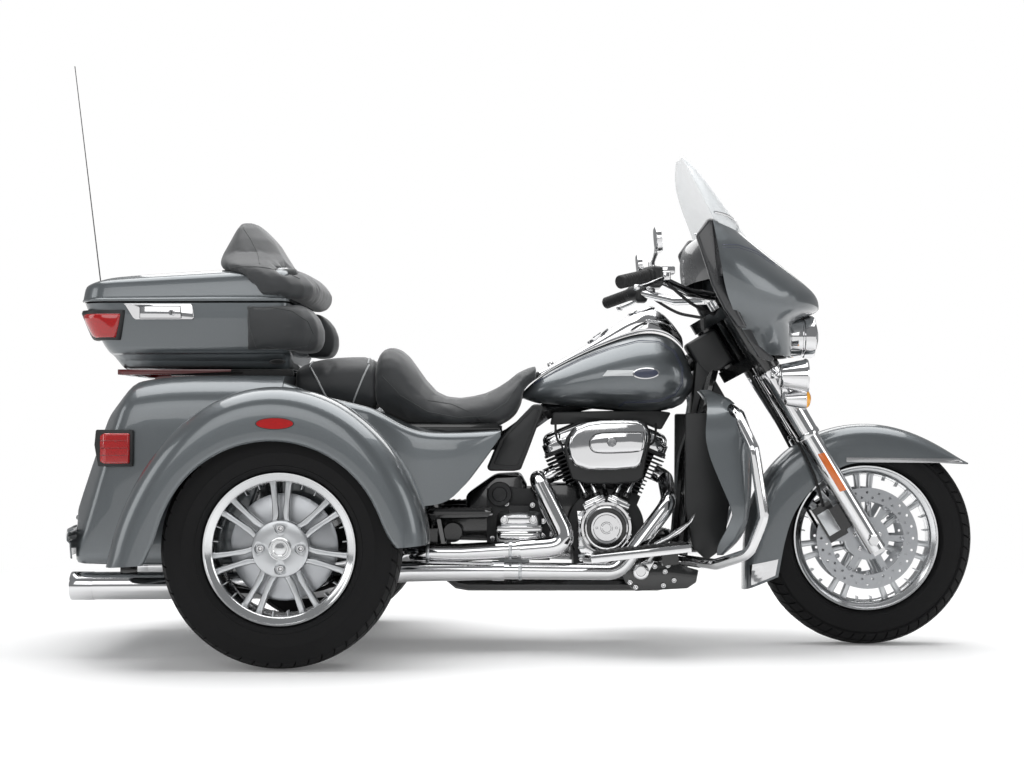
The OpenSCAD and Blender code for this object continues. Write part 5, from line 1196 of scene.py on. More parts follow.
@dataclass
class LuggageBox:
    """Latch, lamps, strips and aerial of the luggage box."""
    side_y: float = 0.300

    def build(self) -> None:
        """Makes the box's fittings."""
        self.latch()
        self.lamps()
        self.strips()
        self.aerial()

    def latch(self) -> None:
        """Sets the plated latch plate, its paddle and its lock on the right side."""
        y = -self.side_y
        plate = BENCH.slab([(x, y + 0.0005, z) for x, z in ((-1.112, 1.0015), (-1.106, 0.996), (-1.084, 0.961), (-1.076, 0.9555),
                           (-0.913, 0.9555), (-0.909, 0.961), (-0.914, 0.996), (-0.919, 1.0015))], (0, -0.0060, 0), 0.0022, 3)
        BENCH.give(plate, "latch_plate", "chassis", CHROME_PLATE)
        # Painted shade: a near-black sheet behind the paddle shows as a dark gap round it
        gap = BENCH.slab([(x, y - 0.0050, z) for x, z in ((-1.0645, 0.9945), (-0.9475, 0.9945), (-0.9445, 0.9585), (-1.0645, 0.9585))],
                         (0, -0.0008, 0), 0.0)
        BENCH.give(gap, "latch_paddle_gap_painted_shade", "chassis", SOOT_AND_HOLE_SHADE)
        paddle = BENCH.slab([(x, y - 0.0052, z) for x, z in ((-1.0630, 0.9930), (-0.9490, 0.9930), (-0.9462, 0.9600),
                            (-1.0630, 0.9600))], (0, -0.0026, 0), 0.0010)
        BENCH.give(paddle, "latch_paddle", "chassis", CHROME_PLATE)
        lock = BENCH.turned((-0.973, y - 0.0077, 0.9755), (0, -1, 0), [
            (0.0, 0.0020), (0.0050, 0.0020), (0.0058, 0.0012), (0.0072, 0.0012), (0.0080, 0.0032), (0.0098, 0.0030), (0.0104, 0.0),
            (0.0, 0.0)], 36)
        BENCH.give(lock, "latch_lock", "chassis", CHROME_PLATE)
        # Painted shade: a near-black sliver stands for the key slot
        slot = BENCH.block((-0.9738, y - 0.0104, 0.9720), (-0.9722, y - 0.0094, 0.9790), 0.0)
        BENCH.give(slot, "latch_key_slot_painted_shade", "chassis", SOOT_AND_HOLE_SHADE)

    def lamps(self) -> None:
        """Smooths the corner lamps and sets dark surrounds behind them."""
        lens = BENCH.skin("luggage_lamps", 2)
        frame = BENCH.copy(lens)
        middle = Vector((-1.176, 0, 0.9385))
        for spot in frame.data.vertices:
            side = 1 if spot.co.y > 0 else -1
            away = spot.co - middle
            spot.co = Vector((middle.x + away.x * 1.14 + 0.004, spot.co.y - side * 0.0060, middle.z + away.z * 1.28 + 0.002))
        BENCH.give(frame, "luggage_lamp_surrounds", "chassis", MOULDED_BLACK, shade=40)
        BENCH.give(lens, "luggage_lamp_lenses", "chassis", RED_LENS, "luggage_lamps", shade=40)

    def strips(self) -> None:
        """Sets the dark red reflector strip under the box and the oval sockets."""
        side = BENCH.slab([(x, -0.240, z) for x, z in ((-1.139, 0.8155), (-1.129, 0.7990), (-0.960, 0.8020), (-0.815, 0.8085),
                          (-0.812, 0.8155))], (0, 0.010, 0), 0.0015)
        rear = BENCH.block((-1.142, -0.236, 0.8000), (-1.132, 0.0, 0.8155), 0.0015)
        BENCH.give(BENCH.across(BENCH.join([side, rear])), "box_reflector_strip", "chassis", DARK_RED_LENS)
        ring = [(-0.677 + 0.024 * math.cos(a), -0.2545, 0.8365 + 0.0085 * math.sin(a)) for a in
                [2 * math.pi * i / 28 for i in range(28)]]
        socket = BENCH.slab(ring, (0, -0.0060, 0), 0.0018)
        # Painted shade: a near-black oval sheet stands for each socket's bore
        hole = BENCH.slab([(x * 0.72 - 0.677 * 0.28, y - 0.0055, z * 0.62 + 0.8365 * 0.38) for x, y, z in ring], (0, -0.0012, 0), 0.0)
        BENCH.give(BENCH.across(socket), "headset_sockets", "chassis", MOULDED_BLACK)
        BENCH.give(BENCH.across(hole), "headset_socket_bores_painted_shade", "chassis", SOOT_AND_HOLE_SHADE)

    def aerial(self) -> None:
        """Tapers the whip aerial out of its spring foot."""
        foot, tip = Vector((-1.262, 0.150, 0.928)), Vector((-1.3674, 0.150, 1.772))
        way = (tip - foot).normalized()
        whip = BENCH.rod(foot, tip, 0.0021, 0.0013, 12, 0)
        clamp = BENCH.block((-1.272, 0.138, 0.922), (-1.2113, 0.162, 0.932), 0.003)
        BENCH.give(BENCH.join([whip, clamp]), "aerial_whip", "chassis", GLOSS_BLACK, "antenna")
        foot_piece = BENCH.turned(foot, way, [
            (0.0, 0.0), (0.0070, 0.0), (0.0070, 0.026), (0.0058, 0.030), (0.0062, 0.034), (0.0050, 0.038), (0.0054, 0.042),
            (0.0044, 0.046), (0.0050, 0.054), (0.0034, 0.095), (0.0, 0.098), (0.0, 0.0)], 24)
        BENCH.give(foot_piece, "aerial_foot", "chassis", CHROME_PLATE)
        ball = BENCH.turned(tip, way, [(0.0, -0.008), (0.0014, -0.007), (0.0017, -0.0045), (0.0015, -0.0026), (0.0, -0.0020), (0.0, -0.008)], 16)
        BENCH.give(ball, "aerial_tip", "chassis", GLOSS_BLACK)


@dataclass
class RearBody:
    """Markers, tail lamps, door fittings and swingarm parts of the rear body."""
    fender_y: float = 0.695

    def build(self) -> None:
        """Makes the rear body's fittings."""
        self.markers()
        self.tail_lamps()
        self.door()
        self.side_covers()
        BENCH.dress("rear_axle", GLOSS_BLACK)
        BENCH.dress("luggage_carrier", GLOSS_BLACK)

    def markers(self) -> None:
        """Sets the oval red side markers on the fenders."""
        for side, sign in (("right", -1), ("left", 1)):
            fender = bpy.data.objects[f"rear_fender_{side}_skin"]
            y = sign * 0.8
            corners = ((-0.676, y, 0.6425), (-0.573, y, 0.6425), (-0.573, y, 0.6745), (-0.676, y, 0.6745))
            inner = ((-0.673, y, 0.6445), (-0.576, y, 0.6445), (-0.576, y, 0.6725), (-0.673, y, 0.6725))
            BENCH.give(BENCH.decal(fender, corners, (0, -sign, 0), 0.0002, True), f"side_marker_{side}_seat", "chassis", MOULDED_BLACK)
            BENCH.give(BENCH.decal(fender, inner, (0, -sign, 0), 0.0005, True), f"side_marker_{side}", "chassis", RED_LENS)

    def tail_lamps(self) -> None:
        """Smooths the tail lamps and sets them in dark surrounds."""
        lens = BENCH.bevel(BENCH.skin("tail_lamps", 0), 0.005, 3)
        BENCH.give(lens, "tail_lamp_lenses", "chassis", RED_LENS, "tail_lamps", shade=40)
        frame = BENCH.slab([(x, -0.4302, z) for x, z in ((-1.156, 0.642), (-1.160, 0.600), (-1.150, 0.540), (-1.052, 0.540),
                           (-1.052, 0.642))], (0, -0.0120, 0), 0.004)
        BENCH.give(BENCH.across(frame), "tail_lamp_surrounds", "chassis", MOULDED_BLACK)
        ribs = [BENCH.block((-1.140, -0.4545, z), (-1.064, -0.450, z + 0.002), 0.0006, 1) for z in (0.570, 0.590, 0.610)]
        BENCH.give(BENCH.across(BENCH.join(ribs)), "tail_lamp_ribs", "chassis", DARK_RED_LENS)

    def door(self) -> None:
        """Sets the trunk door's handle, plate holder and lamp."""
        skin = bpy.data.objects["trunk_door_skin"]
        handle = BENCH.decal(skin, ((-1.4, -0.062, 0.652), (-1.4, 0.062, 0.652), (-1.4, 0.062, 0.678), (-1.4, -0.062, 0.678)),
                             (1, 0, 0), 0.008, True)
        BENCH.give(handle, "trunk_door_handle", "trunk_door", CHROME_PLATE)
        holder = BENCH.decal(skin, ((-1.4, -0.100, 0.470), (-1.4, 0.100, 0.470), (-1.4, 0.100, 0.590), (-1.4, -0.100, 0.590)),
                             (1, 0, 0), 0.004)
        BENCH.give(holder, "plate_holder", "trunk_door", MOULDED_BLACK)
        plate = BENCH.decal(skin, ((-1.4, -0.088, 0.478), (-1.4, 0.088, 0.478), (-1.4, 0.088, 0.582), (-1.4, -0.088, 0.582)),
                            (1, 0, 0), 0.0062)
        BENCH.give(plate, "blank_plate", "trunk_door", SATIN_ALLOY)
        lamp = BENCH.decal(skin, ((-1.4, -0.045, 0.602), (-1.4, 0.045, 0.602), (-1.4, 0.045, 0.618), (-1.4, -0.045, 0.618)),
                           (1, 0, 0), 0.010)
        BENCH.give(lamp, "plate_lamp", "trunk_door", CLEAR_LENS)
        body = bpy.data.objects["trunk_body_skin"]
        bars = [BENCH.decal(body, ((-1.4, -0.300, 0.742), (-1.4, -0.120, 0.742), (-1.4, -0.120, 0.758), (-1.4, -0.300, 0.758)),
                            (1, 0, 0), 0.0025)]
        BENCH.give(BENCH.across(BENCH.join(bars)), "rear_reflectors", "chassis", DARK_RED_LENS)

    def side_covers(self) -> None:
        """Rounds the black covers between the seat and the engine."""
        cover = BENCH.bevel(BENCH.skin("side_covers", 0), 0.006, 3, 25)
        BENCH.give(cover, "side_cover_panels", "chassis", MOULDED_BLACK, "side_covers", shade=45)
        ridge = BENCH.slab([(x, -0.1478, z) for x, z in ((0.012, 0.536), (0.034, 0.588), (0.058, 0.650), (0.078, 0.700), (0.062, 0.704),
                           (-0.026, 0.614), (-0.058, 0.540))], (0, -0.0040, 0), 0.003)
        BENCH.give(BENCH.across(ridge), "side_cover_ridges", "chassis", MOULDED_BLACK)


@dataclass
class TankAndSeats:
    """Stripes, flash, console fittings, seams and welts."""
    side: tuple[float, float, float] = (0, 1, 0)

    def build(self) -> None:
        """Makes the tank's and the seats' trim."""
        self.stripes()
        self.flash()
        self.console()
        self.seams()

    def stripes(self) -> None:
        """Paints the twin pinstripes round the tank's side."""
        tank = bpy.data.objects["fuel_tank_skin"]
        outer = ((0.055, 0.775), (0.120, 0.812), (0.200, 0.850), (0.290, 0.884), (0.370, 0.905), (0.430, 0.902), (0.476, 0.872),
                 (0.498, 0.822), (0.496, 0.776), (0.476, 0.744), (0.430, 0.725), (0.380, 0.722), (0.330, 0.721), (0.312, 0.709))
        for name, lift, pull in (("outer", 0.0, 1.0), ("inner", 0.0, 0.975)):
            cx, cz = 0.330, 0.805
            path = [(cx + (x - cx) * pull, -0.4, cz + (z - cz) * (pull * pull)) for x, z in outer]
            line = BENCH.trace(tank, path, self.side, 0.0, 0.0016 if name == "outer" else 0.0009)
            BENCH.give(BENCH.across(line), f"tank_pinstripe_{name}", "chassis", STRIPE_DARK)
        fairing = bpy.data.objects["fairing_outer_skin"]
        pair = [BENCH.trace(fairing, [(x, -0.5, z - drop) for x, z in ((0.590, 1.164), (0.640, 1.166), (0.700, 1.152), (0.756, 1.122))],
                            self.side, 0.0, thick) for drop, thick in ((0.0, 0.0014), (0.008, 0.0008))]
        BENCH.give(BENCH.across(BENCH.join(pair)), "fairing_pinstripes", "steering", STRIPE_DARK)

    def flash(self) -> None:
        """Lays the silver flash and a bare lozenge on the tank's sides."""
        tank = bpy.data.objects["fuel_tank_skin"]
        bar = BENCH.decal(tank, ((0.262, -0.4, 0.7985), (0.352, -0.4, 0.7985), (0.352, -0.4, 0.8155), (0.276, -0.4, 0.8155)), self.side,
                          0.0006)
        BENCH.give(BENCH.across(bar), "tank_silver_flash", "chassis", STRIPE_SILVER)
        rim = BENCH.decal(tank, ((0.346, -0.4, 0.7895), (0.424, -0.4, 0.7895), (0.430, -0.4, 0.8225), (0.352, -0.4, 0.8225)), self.side,
                          0.0012, True)
        BENCH.give(BENCH.across(rim), "tank_lozenge_rim", "chassis", CHROME_PLATE)
        face = BENCH.decal(tank, ((0.351, -0.4, 0.7925), (0.421, -0.4, 0.7925), (0.425, -0.4, 0.8195), (0.356, -0.4, 0.8195)), self.side,
                           0.0020, True)
        BENCH.give(BENCH.across(face), "tank_lozenge_face", "chassis", STRIPE_DARK)

    def console(self) -> None:
        """Sets the filler lid, gauge and switch on the plated console."""
        top = bpy.data.objects["tank_console_skin"]
        for name, x, size, finish, thick in (("console_gauge_rim", 0.3850, 0.0400, CHROME_PLATE, 0.0050),
                                             ("console_gauge_face", 0.3850, 0.0340, GAUGE_FACE, 0.0056),
                                             ("filler_lid", 0.2550, 0.0320, CHROME_PLATE, 0.0060),
                                             ("filler_lid_button", 0.2550, 0.0120, SATIN_ALLOY, 0.0090)):
            piece = BENCH.decal(top, ((x - size, -size, 1.2), (x + size, -size, 1.2), (x + size, size, 1.2), (x - size, size, 1.2)),
                                (0, 0, -1), thick, True)
            BENCH.give(piece, name, "chassis", finish)
        pins = BENCH.join([BENCH.trace(top, ((x, -0.034, 1.2), (x, 0.034, 1.2)), (0, 0, -1), 0.0, 0.0012)
                           for x in (0.130, 0.150)])
        BENCH.give(pins, "console_ribs", "chassis", CHROME_PLATE)
        knob = BENCH.turned((0.112, 0, 0.8355), (-0.4, 0, 1), [
            (0.0, -0.006), (0.0100, -0.006), (0.0100, 0.004), (0.0080, 0.0080), (0.0040, 0.0100), (0.0, 0.0104), (0.0, -0.006)], 32)
        BENCH.give(knob, "console_latch_knob", "chassis", CHROME_PLATE)

    def seams(self) -> None:
        """Sews the seams and light welts of the seats and pads."""
        saddle, pillion = bpy.data.objects["rider_seat_pad"], bpy.data.objects["passenger_seat_pad"]
        welts = [BENCH.trace(pillion, ((-0.595, -0.4, 0.822), (-0.575, -0.4, 0.790), (-0.556, -0.4, 0.752), (-0.540, -0.4, 0.722)),
                             self.side, 0.0005, 0.0028),
                 BENCH.trace(pillion, ((-0.424, -0.4, 0.832), (-0.440, -0.4, 0.796), (-0.456, -0.4, 0.756), (-0.470, -0.4, 0.722)),
                             self.side, 0.0005, 0.0028)]
        BENCH.give(BENCH.across(BENCH.join(welts)), "pillion_side_welts", "chassis", GREY_WELT)
        across = [BENCH.trace(pillion, ((x, -0.128, 1.1), (x, 0.128, 1.1)), (0, 0, -1), 0.0005, 0.0026) for x in (-0.600, -0.428)]
        BENCH.give(BENCH.join(across), "pillion_top_welts", "chassis", GREY_WELT)
        lines = [BENCH.trace(saddle, ((-0.385, -0.4, 0.800), (-0.330, -0.4, 0.742), (-0.250, -0.4, 0.694), (-0.160, -0.4, 0.676),
                                      (-0.080, -0.4, 0.682), (-0.020, -0.4, 0.722), (0.012, -0.4, 0.772)), self.side, -0.0002, 0.0013),
                 BENCH.trace(saddle, ((-0.250, -0.4, 0.727), (-0.180, -0.4, 0.716), (-0.120, -0.4, 0.690), (-0.090, -0.4, 0.664)),
                             self.side, -0.0002, 0.0013)]
        BENCH.give(BENCH.across(BENCH.join(lines)), "saddle_seams", "chassis", PLAIN_VINYL)
        rest = bpy.data.objects["backrest_pad"]
        BENCH.give(BENCH.block((-0.712, -0.262, 1.066), (-0.622, 0.262, 1.106), 0.014, 3), "backrest_inner_panel", "luggage_lid", PLAIN_VINYL)
        for name, path in (("backrest_wing_seam", ((-0.838, -0.5, 1.104), (-0.780, -0.5, 1.108), (-0.720, -0.5, 1.106),
                                                   (-0.660, -0.5, 1.096), (-0.612, -0.5, 1.074))),
                           ("backrest_side_seam", ((-0.800, -0.5, 1.240), (-0.770, -0.5, 1.200), (-0.742, -0.5, 1.150),
                                                   (-0.726, -0.5, 1.116)))):
            BENCH.give(BENCH.across(BENCH.trace(rest, path, self.side, -0.0002, 0.0015)), name, "luggage_lid", PLAIN_VINYL)
        pods = bpy.data.objects["luggage_pods_pad"]
        ring = [(-0.752, 0.988), (-0.690, 0.990), (-0.630, 0.980), (-0.585, 0.950), (-0.570, 0.915), (-0.585, 0.880), (-0.640, 0.872),
                (-0.730, 0.874), (-0.748, 0.930), (-0.752, 0.988)]
        piece = BENCH.trace(pods, [(x, -0.6, z) for x, z in ring], self.side, -0.0002, 0.0015)
        BENCH.give(BENCH.across(piece), "pod_seams", "chassis", PLAIN_VINYL)


@dataclass
class FrontEnd:
    """Fairing edge, lamps, fork covers, fender trim and brake parts of the front."""
    rake: Matrix = field(default_factory=lambda: Matrix.Translation((1.05, 0, 0.319)) @ Matrix.Rotation(math.radians(-31), 4, "Y"))
    fork_y: float = 0.121

    def build(self) -> None:
        """Makes the front's pieces."""
        self.fairing()
        self.headlamp()
        self.lamps()
        self.fork()
        self.fender()
        self.brakes()

    def place(self, x: float, y: float, z: float) -> Vector:
        """Returns a point given along the raked fork."""
        return self.rake @ Vector((x, y, z))

    def fairing(self) -> None:
        """Recesses the fairing round its lamp and sets its dark inner cheeks."""
        skin = bpy.data.objects["fairing_outer_skin"]
        nose = ((0.838, 0.838), (0.858, 0.838), (0.902, 0.860), (0.952, 0.894), (1.000, 0.912), (1.038, 0.904), (1.200, 0.700))
        side = ((0.838, 0.706), (0.862, 0.706), (0.908, 0.672), (0.962, 0.638), (1.016, 0.608), (1.120, 0.584))
        for spot in skin.data.vertices:
            front, back = BENCH.between(nose, spot.co.z), BENCH.between(side, spot.co.z)
            ramp = min(1.0, max(0.0, (1.000 - spot.co.z) / 0.050))
            ramp = ramp * ramp * (3 - 2 * ramp)
            share = max(0.0, (spot.co.x - back) / (front - back))
            spot.co.x -= max(0.0, front - 0.822) * ramp * share ** 2
        BENCH.second(skin, DASH_GREY, lambda f: f.normal.x < -0.35 and f.center.z > 0.86)
        for name, y, depth, rows in (
                ("fairing_cheeks", -0.318, 0.030, ((0.520, 1.195), (0.556, 1.246), (0.586, 1.236), (0.598, 1.150), (0.602, 1.060),
                                                    (0.632, 1.000), (0.668, 0.930), (0.640, 0.930), (0.600, 0.985), (0.566, 1.052))),
                ("fairing_lower_edges", -0.262, 0.012, ((0.628, 1.010), (0.668, 0.960), (0.706, 0.882), (0.750, 0.846), (0.744, 0.836),
                                                         (0.706, 0.846), (0.672, 0.900), (0.636, 0.960), (0.614, 1.006)))):
            cheek = BENCH.slab([(x, y, z) for x, z in rows], (0, depth, 0), depth * 0.35, 3)
            BENCH.give(BENCH.across(cheek), name, "steering", DASH_GREY)

    def headlamp(self) -> None:
        """Makes the headlamp shell, rim, reflector and lens."""
        middle = (0.800, 0, 0.920)
        shell = BENCH.turned(middle, (1, 0, 0), [
            (0.0, 0.0), (0.040, 0.0), (0.056, 0.010), (0.0635, 0.030), (0.0635, 0.062), (0.0605, 0.066), (0.0605, 0.069), (0.0640, 0.072),
            (0.0640, 0.094), (0.0620, 0.101), (0.0575, 0.104), (0.0550, 0.100), (0.0550, 0.090), (0.020, 0.060), (0.0, 0.055), (0.0, 0.0)], 72)
        BENCH.give(shell, "headlamp_shell", "steering", CHROME_PLATE, "headlamp")
        lens = BENCH.turned(middle, (1, 0, 0), [
            (0.0, 0.116), (0.020, 0.1145), (0.040, 0.109), (0.0545, 0.101), (0.0545, 0.098), (0.040, 0.1055), (0.020, 0.1115),
            (0.0, 0.113), (0.0, 0.116)], 72)
        BENCH.give(lens, "headlamp_lens", "steering", CLEAR_LENS)
        bulb = BENCH.turned(middle, (1, 0, 0), [(0.0, 0.094), (0.013, 0.090), (0.016, 0.080), (0.016, 0.058), (0.0, 0.056), (0.0, 0.094)], 32)
        BENCH.give(bulb, "headlamp_bulb", "steering", REFLECTOR)

    def lamps(self) -> None:
        """Sets clear and amber lenses in the front lamps."""
        clear = BENCH.turned((0.8462, -0.214, 0.796), (1, 0, 0), [
            (0.0, 0.010), (0.020, 0.0085), (0.036, 0.0045), (0.0440, 0.0), (0.0, -0.002), (0.0, 0.010)], 48)
        rim = BENCH.turned((0.8462, -0.214, 0.796), (1, 0, 0), [
            (0.0430, -0.004), (0.0505, -0.004), (0.0512, 0.0), (0.0490, 0.0045), (0.0440, 0.0050), (0.0430, 0.0), (0.0430, -0.004)], 48)
        amber = BENCH.turned((0.8462, -0.206, 0.730), (1, 0, 0), [
            (0.0, 0.016), (0.012, 0.0145), (0.023, 0.009), (0.0290, 0.0), (0.0, -0.002), (0.0, 0.016)], 48)
        BENCH.give(BENCH.across(clear), "passing_lamp_lenses", "steering", CLEAR_LENS)
        BENCH.give(BENCH.across(rim), "passing_lamp_rims", "steering", CHROME_PLATE)
        BENCH.give(BENCH.across(amber), "front_signal_lenses", "steering", AMBER_LENS)

    def fork(self) -> None:
        """Dresses the fork and adds black covers, seals and reflectors."""
        BENCH.dress("fork", CHROME_PLATE)
        turn = self.rake.inverted()
        BENCH.second(FRAME["nodes"]["fork"], GLOSS_BLACK, lambda f: (turn @ f.center).z > 0.602)
        axis = self.rake.to_3x3() @ Vector((0, 0, 1))
        sleeve = BENCH.turned(self.place(0, -self.fork_y, 0.5800), axis, [
            (0.0250, 0.0), (0.0370, 0.0), (0.0380, 0.004), (0.0380, 0.190), (0.0365, 0.1965), (0.0250, 0.1965), (0.0250, 0.0)], 40)
        BENCH.give(BENCH.across(sleeve), "fork_upper_covers", "steering", GLOSS_BLACK)
        seal = BENCH.turned(self.place(0, -self.fork_y, 0.352), axis, [
            (0.0245, 0.0), (0.0355, 0.0), (0.0365, 0.003), (0.0365, 0.012), (0.0350, 0.0155), (0.0245, 0.0155), (0.0245, 0.0)], 40)
        BENCH.give(BENCH.across(seal), "fork_seal_rings", "steering", CHROME_PLATE)
        row = [self.place(x, -0.1560, z) for x, z in ((-0.010, 0.170), (0.010, 0.165), (0.011, 0.292), (-0.009, 0.297))]
        plate = BENCH.slab([tuple(p) for p in row], (0, 0.004, 0), 0.0015)
        BENCH.give(BENCH.across(plate), "fork_reflectors", "steering", ORANGE_LENS)
        cap = BENCH.turned(self.place(0, -0.158, 0.0), (0, -1, 0), [
            (0.0, 0.0), (0.017, 0.0), (0.018, 0.002), (0.018, 0.008), (0.015, 0.011), (0.0, 0.011), (0.0, 0.0)], 6)
        BENCH.give(BENCH.across(cap), "front_axle_nuts", "steering", CHROME_PLATE)

    def fender(self) -> None:
        """Sets the bright strip and the mud skirt trim on the front fender."""
        fender = bpy.data.objects["front_fender_skin"]
        strip = BENCH.decal(fender, ((0.985, -0.4, 0.5455), (1.330, -0.4, 0.5425), (1.315, -0.4, 0.5550), (0.985, -0.4, 0.5590)),
                            (0, 1, 0), 0.0030, cells=24)
        skirt = BENCH.decal(fender, ((0.706, -0.4, 0.180), (0.774, -0.4, 0.210), (0.783, -0.4, 0.258), (0.702, -0.4, 0.240)),
                            (0, 1, 0), 0.0030)
        BENCH.give(BENCH.across(strip), "front_fender_strips", "steering", CHROME_PLATE)
        BENCH.give(BENCH.across(skirt), "mud_skirt_trims", "steering", CHROME_PLATE)

    def brakes(self) -> None:
        """Adds silver pads and lines to the calipers."""
        BENCH.dress("brake_calipers", GLOSS_BLACK)
        BENCH.dress("brake_discs", GROUND_STEEL)
        row = [self.place(x, -0.0895, z) for x, z in ((-0.096, 0.066), (-0.056, 0.066), (-0.056, 0.138), (-0.096, 0.138))]
        pad = BENCH.slab([tuple(p) for p in row], (0, -0.0040, 0), 0.0015)
        BENCH.give(BENCH.across(pad), "caliper_faces", "steering", SATIN_ALLOY)
        line = BENCH.pipe([self.place(*p) for p in ((-0.066, -0.088, 0.150), (-0.056, -0.100, 0.190), (-0.040, -0.110, 0.260),
                                                    (-0.034, -0.106, 0.360), (-0.030, -0.092, 0.480), (-0.030, -0.080, 0.600))],
                          0.0045, rounds=2)
        BENCH.give(BENCH.across(line), "front_brake_lines", "steering", SOFT_RUBBER)


@dataclass
class Controls:
    """Handlebar, grips, levers, mirrors and switch pods."""
    grip: tuple[Point, Point] = ((0.300, -0.430, 1.052), (0.375, -0.348, 1.075))

    def build(self) -> None:
        """Makes the controls."""
        bar = BENCH.tube([(0.302, -0.428, 1.0525), (0.392, -0.330, 1.080), (0.505, -0.190, 1.042), (0.595, -0.080, 1.037),
                          (0.595, 0.080, 1.037), (0.505, 0.190, 1.042), (0.392, 0.330, 1.080), (0.302, 0.428, 1.0525)], 0.0138, 0.05)
        rake = Matrix.Translation((1.05, 0, 0.319)) @ Matrix.Rotation(math.radians(-31), 4, "Y")
        risers = [BENCH.rod(rake @ Vector((-0.020, y, 0.812)), rake @ Vector((-0.020, y, 0.850)), 0.0152) for y in (-0.044, 0.044)]
        BENCH.give(BENCH.join([bar, *risers]), "handlebar_tube", "steering", CHROME_PLATE, "handlebar", shade=60)
        start, end = (Vector(p) for p in self.grip)
        way = (end - start).normalized()
        length = (end - start).length
        rows = [(0.0, -0.004), (0.0165, -0.004), (0.0190, -0.001), (0.0190, 0.004)]
        for step in range(9):
            at = 0.008 + step * (length - 0.02) / 9
            rows += [(0.0190, at), (0.0178, at + 0.001), (0.0178, at + 0.004), (0.0190, at + 0.005)]
        rows += [(0.0205, length - 0.006), (0.0205, length), (0.0, length), (0.0, -0.004)]
        grip = BENCH.turned(start, way, rows, 40)
        BENCH.give(BENCH.across(grip), "grips", "steering", SOFT_RUBBER)
        pod = BENCH.turned(end, way, [(0.0, 0.001), (0.021, 0.001), (0.0245, 0.005), (0.0245, 0.044), (0.021, 0.049), (0.0, 0.049), (0.0, 0.001)], 40)
        box = BENCH.block((0.386, -0.352, 1.045), (0.424, -0.296, 1.104), 0.010, 3)
        BENCH.give(BENCH.across(BENCH.join([pod, box])), "switch_pods", "steering", MOULDED_BLACK)
        lever = BENCH.pipe([(0.432, -0.306, 1.078), (0.428, -0.330, 1.074), (0.402, -0.372, 1.060), (0.372, -0.412, 1.044), (0.346, -0.446, 1.036)],
                           0.0062, rounds=2)
        ball = BENCH.rod((0.3475, -0.4445, 1.0365), (0.3385, -0.4540, 1.0345), 0.0088)
        perch = BENCH.block((0.420, -0.322, 1.066), (0.448, -0.288, 1.092), 0.005)
        BENCH.give(BENCH.across(BENCH.join([lever, ball, perch])), "hand_levers", "steering", CHROME_PLATE, shade=50)
        well = BENCH.block((0.416, -0.300, 1.086), (0.462, -0.246, 1.108), 0.004)
        BENCH.give(BENCH.across(well), "brake_fluid_wells", "steering", CHROME_PLATE)
        ring = [(0.4010, -0.410 + 0.0585 * math.cos(a), 1.172 + 0.0290 * math.sin(a)) for a in [2 * math.pi * i / 40 for i in range(40)]]
        glass = BENCH.slab(ring, (-0.0025, 0, 0), 0.0005)
        BENCH.give(BENCH.across(glass), "mirror_glass", "steering", MIRROR_GLASS)
        cable = BENCH.pipe([(0.440, -0.300, 1.060), (0.500, -0.250, 1.010), (0.560, -0.150, 0.990), (0.620, -0.070, 0.975)], 0.0048, rounds=2)
        BENCH.give(BENCH.across(cable), "control_cables", "steering", SOFT_RUBBER)
        screen = bpy.data.objects["windshield_sheet"]
        edge = BENCH.trace(screen, ((0.9, -0.302, 1.262), (0.9, -0.210, 1.250), (0.9, 0.0, 1.238), (0.9, 0.210, 1.250), (0.9, 0.302, 1.262)),
                           (-1, 0, 0), 0.0, 0.0035)
        BENCH.give(edge, "windshield_trim", "steering", CHROME_PLATE)


